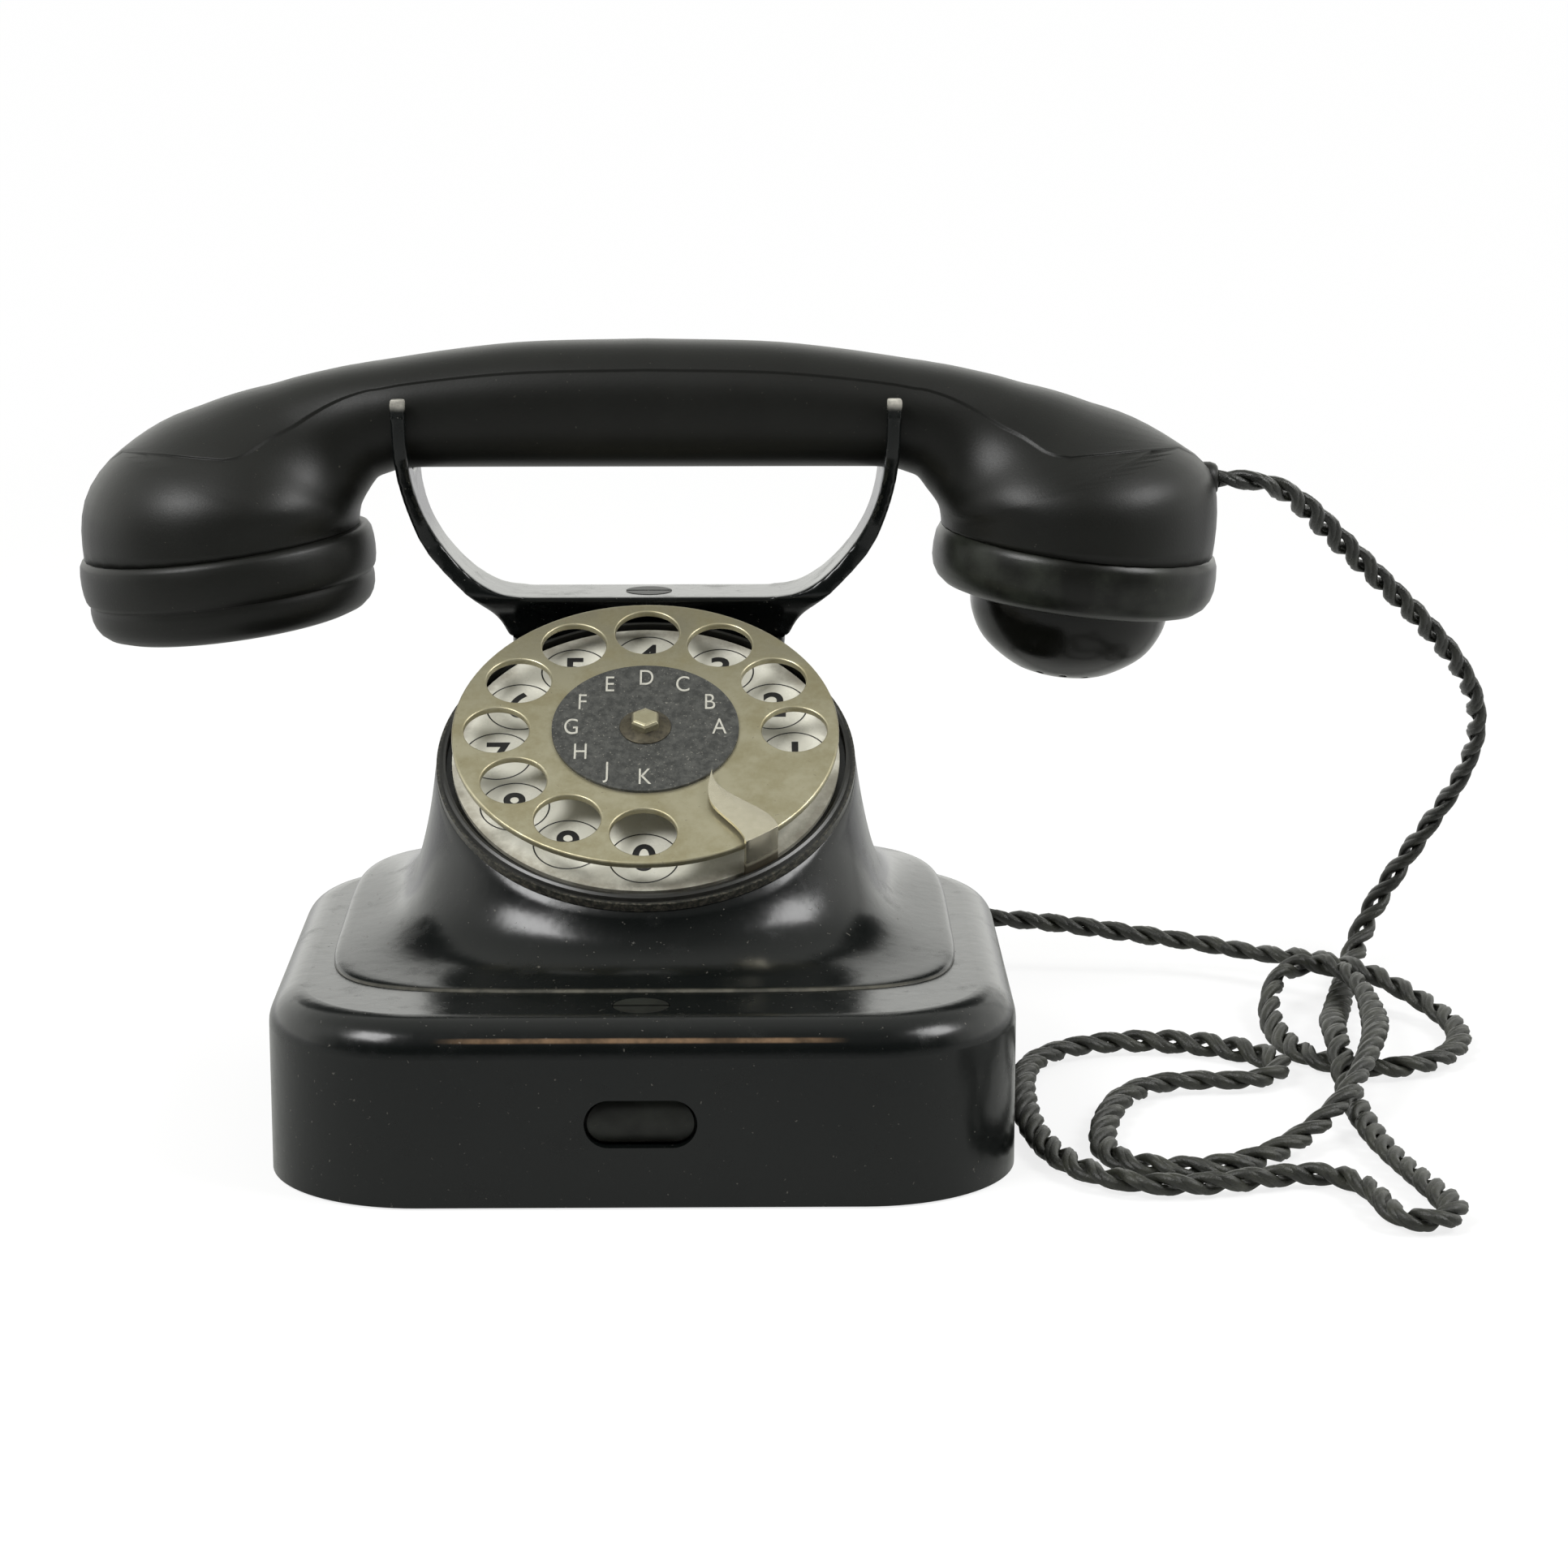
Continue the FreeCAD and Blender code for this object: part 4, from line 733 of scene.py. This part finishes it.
fork_outer = [(29.3, fork_foot), (32.4, 94), (39.5, 100.4), (46.5, 108.2), (50.2, 117), (52, 127),
              (52.7, fork_tip)]
fork_inner = [(25.4, 98.4), (31, 99.3), (36, 102), (40.6, 106.4), (44.4, 111.6), (47.0, 117),
              (48.5, 123), (49.3, 131), (49.5, fork_tip)]
fork_depth = [(9, 98.5), (8.5, 102), (7.7, 106), (7.5, 110), (8.2, 114.5), (10.6, 119.5),
              (13.9, 124), (16, 128.5), (16.9, 133.5), (17, fork_tip)]
fork_back = [(7.5, fork_foot), (8.4, 93), (8.9, 96)] + fork_depth
fork_front = [(-2.4, fork_foot), (-3, 91.5), (-4.5, 94), (-7, 96.2)]
fork_front += [(-half, height) for half, height in fork_depth]
lyre_reach, profile_reach, notch_reach = 30, 60, 70
profile_steps, notch_steps = 4, 32
handle_notch, notch_middle, notch_top = 13.8, 138.3, 150
stem_width, stem_thick, stem_foot, stem_top = 22, 5, 33, 92


def from_front(sideways, up, deep):
    return sideways, handset_y + deep, up


def from_side(sideways, up, deep):
    return deep, handset_y + sideways, up


def handle_bed():
    """The outline from the side of the notch that the handle lies in."""
    for index in range(notch_steps + 1):
        turn = math.pi + math.pi * index / notch_steps
        yield handle_notch * math.cos(turn), notch_middle + handle_notch * math.sin(turn)
    yield handle_notch, notch_top
    yield -handle_notch, notch_top


def cradle_fork():
    """The lyre with its notch, on the stem that slides in the tower."""
    right = smooth_line(fork_outer) + smooth_line(fork_inner)[::-1]
    lyre = right + [(-x, z) for x, z in reversed(right)]
    front = slab(lyre, from_front, lyre_reach)
    profile = smooth_line(fork_back, profile_steps)
    profile += smooth_line(fork_front, profile_steps)[::-1]
    side = slab(profile, from_side, profile_reach)
    cutter = slab(handle_bed(), from_side, notch_reach)
    mesh = shared(shared(front, side, "INTERSECT"), cutter, "DIFFERENCE")
    shape = bmesh.new()
    shape.from_mesh(mesh)
    stem = bmesh.ops.create_cube(shape, size=MM)["verts"]
    bmesh.ops.scale(shape, verts=stem, vec=(stem_width, stem_thick, stem_top - stem_foot))
    middle = Vector((0, tower_y, (stem_top + stem_foot) / 2))
    bmesh.ops.translate(shape, verts=stem, vec=middle * MM)
    return finished(shape, "lyre_fork")


fork = add_piece("lyre_fork", cradle_fork(), "cradle", "lacquer", chipped_lacquer)
# Remeshed and smoothed, the fork has the round edges of a casting.
casting = fork.modifiers.new("casting", "REMESH")
casting.mode = "VOXEL"
casting.voxel_size = 0.5 * MM
casting.use_smooth_shade = True
fettling = fork.modifiers.new("fettling", "SMOOTH")
fettling.factor = 0.5
fettling.iterations = 12
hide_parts("cradle_fork")


# Finger wheel: a disc with rounded edges round its rim and its ten holes, and its stop

wheel_radius, finger_hole, wheel_round = 39 * MM, 6.6 * MM, 0.42 * MM
quarter_pull = 0.5523


def circle_in(curve, middle, radius):
    """Add a circle of four Bezier quarters to a flat curve."""
    spline = curve.splines.new("BEZIER")
    spline.bezier_points.add(3)
    spline.use_cyclic_u = True
    pull = quarter_pull * radius
    for index, point in enumerate(spline.bezier_points):
        turn = index * math.pi / 2
        out = Vector((math.cos(turn), math.sin(turn), 0))
        along = Vector((-math.sin(turn), math.cos(turn), 0))
        point.co = middle + out * radius
        point.handle_left = point.co - along * pull
        point.handle_right = point.co + along * pull


def finger_wheel():
    """A flat curve of the rim and the holes, filled, thickened and laid in the dial."""
    curve = bpy.data.curves.new("wheel", "CURVE")
    curve.dimensions = "2D"
    curve.fill_mode = "BOTH"
    curve.resolution_u = 24
    curve.bevel_depth = wheel_round
    curve.bevel_resolution = 3
    curve.offset = -wheel_round
    low, high = levels_of("finger_wheel")
    curve.extrude = (high - low) / 2 - wheel_round
    circle_in(curve, Vector((0, 0, 0)), wheel_radius)
    for index in range(hole_count):
        circle_in(curve, dial_spot(index, hole_radius), finger_hole)
    mesh = mesh_of(curve)
    mesh.transform(dial_place @ Matrix.Translation((0, 0, (low + high) / 2)))
    shape = bmesh.new()
    shape.from_mesh(mesh)
    return finished(shape, "nickel_wheel")


def stop_hook():
    """A copy of the solid finger stop with its flat faces whole, for its edges to be rounded."""
    shape = bmesh.new()
    shape.from_mesh(frame["nodes"]["finger_stop"].data)
    bmesh.ops.remove_doubles(shape, verts=shape.verts, dist=0.001 * MM)
    bmesh.ops.dissolve_limit(shape, angle_limit=math.radians(2), verts=shape.verts,
                             edges=shape.edges)
    return finished(shape, "stop_hook")


wheel = add_piece("nickel_wheel", finger_wheel(), "dial", "nickel", finishes["nickel"])
wheel.modifiers.new("normals", "WEIGHTED_NORMAL")
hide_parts("finger_wheel")
stop = add_piece("stop_hook", stop_hook(), "base", slot_of["finger_stop"], stop_nickel(),
                 smooth=False)
soften(stop, 0.3 * MM, angle=40)
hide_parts("finger_stop")


# Turned pieces: hub, ear cap, mouth ring and dome, and the cord's bush

hub_round, bell_round, bush_round = 64, 128, 48
bolt_sides, pin_sides = 6, 20


def turned(name, outline, place, steps, close=False):
    """Spin an outline of (radius, height) points about Z and put it in its place."""
    shape = bmesh.new()
    verts = [shape.verts.new((radius * MM, 0, height * MM)) for radius, height in outline]
    pairs = list(zip(verts, verts[1:]))
    if close:
        pairs.append((verts[-1], verts[0]))
    edges = [shape.edges.new(pair) for pair in pairs]
    bmesh.ops.spin(shape, geom=verts + edges, cent=(0, 0, 0), axis=(0, 0, 1), angle=math.tau,
                   steps=steps, use_merge=True)
    shape.transform(place)
    return finished(shape, name)


washer_outline = [(0, 0), (5.2, 0), (5.2, 0.25), (4.4, 0.55), (3.3, 1.0), (0, 1.0)]
bolt_reach, bolt_lift = 3.1, 0.8
bolt_levels = [(0, 1), (1.5, 1), (1.95, 0.88), (2.1, 0.7)]


def hub_bolt():
    """A low hexagon head with a rounded top."""
    shape = bmesh.new()
    for height, share in bolt_levels:
        made = bmesh.ops.create_circle(shape, segments=bolt_sides, radius=bolt_reach * share * MM)
        bmesh.ops.translate(shape, verts=made["verts"], vec=(0, 0, height * MM))
    edges = list(shape.edges)
    rings = [edges[start:start + bolt_sides] for start in range(0, len(edges), bolt_sides)]
    for first, second in zip(rings, rings[1:]):
        bmesh.ops.bridge_loops(shape, edges=first + second)
    for ring in (rings[0], rings[-1]):
        bmesh.ops.contextual_create(shape, geom=ring)
    shape.transform(dial_place @ Matrix.Translation((0, 0, card_top + bolt_lift * MM)))
    return finished(shape, "hub_hexagon")


washer_place = dial_place @ Matrix.Translation((0, 0, card_top))
washer = turned("hub_cone", washer_outline, washer_place, hub_round)
tarnish = metal("tarnished_nickel", rgb(0.075, 0.065, 0.042), rgb(0.025, 0.022, 0.015),
                roughness=0.45, blotch=2 * MM, patina=0.4)
cone = add_piece("hub_cone", washer, "dial", "nickel", tarnish)
soften(cone, 0.12 * MM)
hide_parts("hub_washer")
bolt = add_piece("hub_hexagon", hub_bolt(), "dial", "nickel", finishes["nickel"], smooth=False)
soften(bolt, 0.12 * MM, angle=20)
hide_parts("hub_bolt")

bell_span, bell_seam, bell_lean = 89.0, 109.4, math.radians(7)
mouth_shift = 1.4
sound_pitch, sound_hole = 4.7, 1.6


def bell_place(side, shift=0.0):
    """The middle of a bell's seam, with Z along the bell."""
    spot = Vector((side * bell_span + shift, handset_y, bell_seam)) * MM
    return Matrix.Translation(spot) @ Matrix.Rotation(side * bell_lean, 4, "Y")


def pierced(mesh, circles, radius, low, high, place):
    """Cut round holes, in circles of (distance, count), along a piece's axis."""
    shape = bmesh.new()
    for reach, count in circles:
        for index in range(count):
            turn = math.tau * index / count
            made = bmesh.ops.create_cone(shape, cap_ends=True, segments=pin_sides,
                                         radius1=radius * MM, radius2=radius * MM,
                                         depth=(high - low) * MM)
            spot = Vector((reach * math.cos(turn), reach * math.sin(turn), (low + high) / 2)) * MM
            bmesh.ops.translate(shape, verts=made["verts"], vec=spot)
    shape.transform(place)
    return shared(mesh, finished(shape, "pins"), "DIFFERENCE")


ear_outline = [(0, 0.2), (29.2, 0.2), (30.2, -0.2), (30.75, -1.2), (31, -3), (31.05, -5),
               (30.9, -7), (30.6, -8.5), (30.3, -9.1), (29.85, -9.5), (29.75, -9.8),
               (29.95, -10.3), (30, -11.2), (29.85, -12.8), (29.4, -14.2), (28.6, -15.5),
               (27.2, -16.7), (25.2, -17.4), (22.5, -17.6), (20, -17.1), (8, -13.4), (0, -13)]
ear = turned("ear_shell", ear_outline, bell_place(-1), bell_round)
ear_holes = [(0, 1), (sound_pitch, 6)]
ear = pierced(ear, ear_holes, sound_hole, low=-18, high=-9, place=bell_place(-1))
ear_cap = add_piece("ear_shell", ear, "handset", "ebonite", finishes["ebonite"])
ear_cap.modifiers.new("normals", "WEIGHTED_NORMAL")
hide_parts("ear_cap")

ring_outline = [(23.2, 0.2), (28.2, 0.1), (29.2, -0.5), (29.8, -2), (30.05, -4.5), (30, -7),
                (29.5, -9), (28.5, -10.7), (26.9, -12), (24.9, -12.6), (21.5, -12.7),
                (21.2, -12.4), (21.2, -9.5), (23.2, -9.3)]
mouth_place = bell_place(1, mouth_shift)
ring = turned("mouth_roll", ring_outline, mouth_place, bell_round, close=True)
mouth_ring = add_piece("mouth_roll", ring, "handset", "ebonite", dusty_ebonite)
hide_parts("mouth_ring")

dome_top = -9.3
dome_outline = [(21.1, dome_top), (21.1, -12), (20.3, -17.3), (17.1, -22.9), (10.8, -27.4),
                (5.2, -29.1), (0, -29.5)]
dome_holes = [(0, 1), (sound_pitch, 6), (2 * sound_pitch, 12)]
dome_profile = [(0, dome_top)] + smooth_line(dome_outline, 5)
dome = turned("mouth_bowl", dome_profile, mouth_place, bell_round)
dome = pierced(dome, dome_holes, sound_hole / 2, low=-31, high=-20, place=mouth_place)
mouth_dome = add_piece("mouth_bowl", dome, "handset", "ebonite", polished_ebonite)
mouth_dome.modifiers.new("normals", "WEIGHTED_NORMAL")
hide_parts("mouthpiece_dome")

bush_low, bush_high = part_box("handset_cord_bush")
bush_middle = (bush_low + bush_high) / 2
bush_place = Matrix.Translation((bush_low.x, bush_middle.y, bush_middle.z))
bush_place = bush_place @ Matrix.Rotation(math.pi / 2, 4, "Y")
bush_length = (bush_high.x - bush_low.x) / MM
bush_outline = [(0, 0), (3.6, 0), (3.6, bush_length - 1.5), (3.2, bush_length - 0.4),
                (2.7, bush_length), (0, bush_length)]
bush_mesh = turned("cord_collar", bush_outline, bush_place, bush_round)
bush = add_piece("cord_collar", bush_mesh, "handset", "ebonite", finishes["ebonite"])
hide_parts("handset_cord_bush")


# Cord: two pairs of wires wound round each other along the route

cord_route = [
    (32, 63, 20), (32, 73, 20), (36.5, 85, 17.6), (50, 94, 14.6), (70, 97, 13), (91, 94.5, 12),
    (109, 92.5, 9.8), (125.5, 91.5, 7.6), (138, 85, 6.8), (148, 76, 8.4), (157.5, 68, 8.2),
    (165.5, 59.5, 5.6), (171.4, 51, 3.4), (174, 40, 2.8), (172.6, 26.5, 2.8),
    (166.8, 15.4, 2.8), (157.4, 8.6, 2.8), (146.4, 9.6, 2.8), (138.2, 17.6, 2.8),
    (134.8, 29.5, 2.8), (134, 42.5, 3), (135.2, 55, 5), (138.4, 63.4, 8), (143.4, 67.6, 9.2),
    (149, 66.6, 9.6), (153, 61, 9.4), (154.8, 52, 8.8), (155, 42, 8.4), (154.4, 31, 8.4),
    (153.2, 19.5, 8.8), (151, 8, 9.4), (148, -4, 9.8), (144.6, -16, 9.6), (140.4, -26.4, 8.2),
    (135, -34.6, 5.6), (128.4, -42.4, 3.6), (121.4, -50, 2.8), (114.6, -55.6, 2.8),
    (107.7, -58, 2.8), (100.4, -57.5, 2.8), (93.8, -54.2, 2.8), (90, -47.6, 2.8),
    (90.2, -38, 2.8), (92.4, -24.6, 2.8), (96.4, -11, 2.8), (104, -1.6, 2.8), (113.4, 0.8, 2.8),
    (122.8, 0, 2.8), (129.6, 3.2, 2.8), (132.2, 10.6, 2.8), (129.6, 18.6, 2.8),
    (122.4, 24.4, 2.8), (113, 28.8, 2.8), (100.4, 29.6, 2.8), (88.2, 25, 2.8),
    (79.8, 14.4, 2.8), (77, 0.4, 2.8), (76.4, -15, 2.8), (76.8, -32, 2.8), (79.6, -48, 2.8),
    (86.2, -61, 2.8), (95.8, -67.6, 2.8), (107.6, -67.6, 2.8), (117.6, -64.2, 2.8),
    (125.5, -61.4, 2.8), (131.8, -61.8, 2.8), (136, -65.4, 2.8), (138.6, -71.4, 2.8),
    (139.6, -78.4, 2.8), (140.2, -84.6, 2.8), (143.4, -89.2, 2.8), (148.8, -89.4, 2.8),
    (152, -85, 2.8), (151.8, -78, 2.8), (149.4, -67, 2.8), (146.6, -55, 2.8),
    (144.6, -41.5, 2.8), (143.6, -27.5, 2.8), (143.2, -14, 3.2), (143.2, -3.5, 5.4),
    (143.4, 7, 8.5), (144, 18, 9), (145.6, 30, 7), (147.8, 42, 4.2), (150.4, 54.5, 3),
    (153.2, 67.5, 2.8), (156, 80.5, 2.8), (159, 92, 3.2), (162, 100.5, 6.8),
    (166.2, 105.4, 13.5), (172, 106.4, 22.6), (178.4, 103.6, 33.6), (183.8, 98.4, 44.6),
    (185.8, 91.5, 55.4), (184, 84, 66), (178, 77.2, 76.2), (169, 71, 86.2), (158.2, 64, 96.8),
    (147.2, 56.6, 107.2), (138.2, 48, 116.4), (129, 42, 122), (119.6, 42, 122),
]
wire_radius = 1.05 * MM
twist_length = 14.5 * MM
twist_wide, twist_deep = 1.85 * MM, 1.05 * MM
pair_spread = 0.34
sways = [(0.5, 37 * MM, 0), (0.4, 23 * MM, 1)]
swell_share, swell_run = 0.12, 11 * MM


def route_points():
    """Points along the route's smooth spline."""
    curve = bpy.data.curves.new("route", "CURVE")
    curve.dimensions = "3D"
    curve.resolution_u = 12
    spline = curve.splines.new("NURBS")
    spline.points.add(len(cord_route) - 1)
    for point, spot in zip(spline.points, cord_route):
        point.co = (*(Vector(spot) * MM), 1)
    spline.order_u = 3
    spline.use_endpoint_u = True
    return [vertex.co.copy() for vertex in mesh_of(curve).vertices]


def frames_along(points):
    """A point, its two sideways directions and its distance from the start, along a line."""
    side = Vector((0, 0, 1))
    run = 0.0
    for index, point in enumerate(points):
        ahead = points[min(index + 1, len(points) - 1)]
        behind = points[max(index - 1, 0)]
        way = (ahead - behind).normalized()
        side = (side - way * side.dot(way)).normalized()
        if index:
            run += (point - points[index - 1]).length
        yield point, side, way.cross(side), run


def cord_mesh(points):
    """Wires that wind round the route in an oval, which sways and swells along the way."""
    curve = bpy.data.curves.new("wires", "CURVE")
    curve.dimensions = "3D"
    curve.bevel_depth = wire_radius
    curve.bevel_resolution = 2
    curve.use_fill_caps = True
    steps = list(frames_along(points))
    for lead in (-pair_spread, pair_spread, math.pi - pair_spread, math.pi + pair_spread):
        spline = curve.splines.new("POLY")
        spline.points.add(len(steps) - 1)
        for wire_point, (point, up, across, run) in zip(spline.points, steps):
            turn = math.tau * run / twist_length + lead
            sway = sum(size * math.sin(run / length + start) for size, length, start in sways)
            wide = (across * math.cos(sway) + up * math.sin(sway)) * twist_wide
            deep = (up * math.cos(sway) - across * math.sin(sway)) * twist_deep
            swell = 1 + swell_share * math.sin(run / swell_run + 2 * lead)
            spot = point + (wide * math.sin(turn) + deep * math.cos(turn)) * swell
            wire_point.co = (*spot, 1)
    return mesh_of(curve)


route = route_points()
cord = add_piece("plaited_cord", cord_mesh(route), None, "cord", finishes["cord"])
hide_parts("handset_cord")
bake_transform(cord)


# Studio

floor_half = 20
box_aim, box_size = (0, 0, 0.06), 0.5
sensor_width, focal_length = 36, 93.17
camera_spot, camera_pitch, camera_heading = (0.0173, -0.8035, 0.247), 77.3, -0.76


def studio_floor():
    """A white floor that keeps the telephone's shadow and is dimmer in its reflections."""
    finish = Finish("studio_floor")
    seen = finish.node("ShaderNodeLightPath", {}, {}, "Is Camera Ray")
    glossy = finish.node("ShaderNodeLightPath", {}, {}, "Is Glossy Ray")
    clear = finish.node("ShaderNodeLightPath", {}, {}, "Is Transmission Ray")
    diffuse = finish.node("ShaderNodeBsdfDiffuse", {}, {"Color": rgb(0.86, 0.86, 0.86)})
    across, along = finish.axis("X"), finish.axis("Y")
    away = across * across + along * along
    far = finish.step(away, 0.05, 1.2)
    front = finish.step(0 - along, 0.06, 0.3)
    mirrored = finish.mix(finish.step(away, 0.01, 0.4), rgb(0.55, 0.56, 0.53), rgb(1, 1, 1))
    mirrored = finish.mix(front, mirrored, rgb(0.30, 0.31, 0.30))
    colour = finish.mix(glossy, rgb(1, 1, 1), mirrored)
    glow = finish.node("ShaderNodeEmission", {}, {"Color": colour, "Strength": 1.0})
    share = (seen + glossy + clear) * (0.8 + 0.19 * far)
    mixed = finish.node("ShaderNodeMixShader", {}, {0: share, 1: diffuse, 2: glow})
    finish.node("ShaderNodeOutputMaterial", {}, {"Surface": mixed})
    shape = bmesh.new()
    bmesh.ops.create_grid(shape, x_segments=1, y_segments=1, size=floor_half)
    floor = put_in_scene("floor", finished(shape, "floor"))
    dress(floor, finish.material)


def studio_sky():
    """White behind, overhead and at the sides, dim in front of the telephone."""
    world = bpy.data.worlds.new("studio")
    bpy.context.scene.world = world
    finish = Finish("studio", world)
    front = finish.step(0 - finish.axis("Y"), -0.1, 0.6)
    high = finish.step(finish.axis("Z"), 0.35, 0.9)
    shade = front * (1 - 0.3 * high)
    behind = finish.mix(high, rgb(1.65, 1.66, 1.59), rgb(0.76, 0.77, 0.73))
    colour = finish.mix(shade, behind, rgb(0.06, 0.062, 0.06))
    sky = finish.node("ShaderNodeBackground", {}, {"Color": colour, "Strength": 1.0})
    finish.node("ShaderNodeOutputWorld", {}, {"Surface": sky})


def soft_box(name, spot, power):
    """A square lamp that faces the telephone."""
    light = bpy.data.lights.new(name, "AREA")
    light.shape = "RECTANGLE"
    light.size, light.size_y = box_size, box_size
    light.energy = power
    lamp = put_in_scene(name, light)
    lamp.location = spot
    lamp.rotation_euler = (Vector(box_aim) - Vector(spot)).to_track_quat("-Z", "Y").to_euler()


def photo_camera():
    lens = bpy.data.cameras.new("camera")
    lens.sensor_width = sensor_width
    lens.lens = focal_length
    camera = put_in_scene("camera", lens)
    camera.location = camera_spot
    camera.rotation_euler = Euler((math.radians(camera_pitch), 0, math.radians(camera_heading)))
    bpy.context.scene.camera = camera


studio_floor()
studio_sky()
soft_box("left_box", (-0.68, -0.62, 0.98), power=13)
soft_box("right_box", (0.95, -0.38, 0.95), power=11)
photo_camera()
bpy.context.scene.view_settings.view_transform = "Standard"
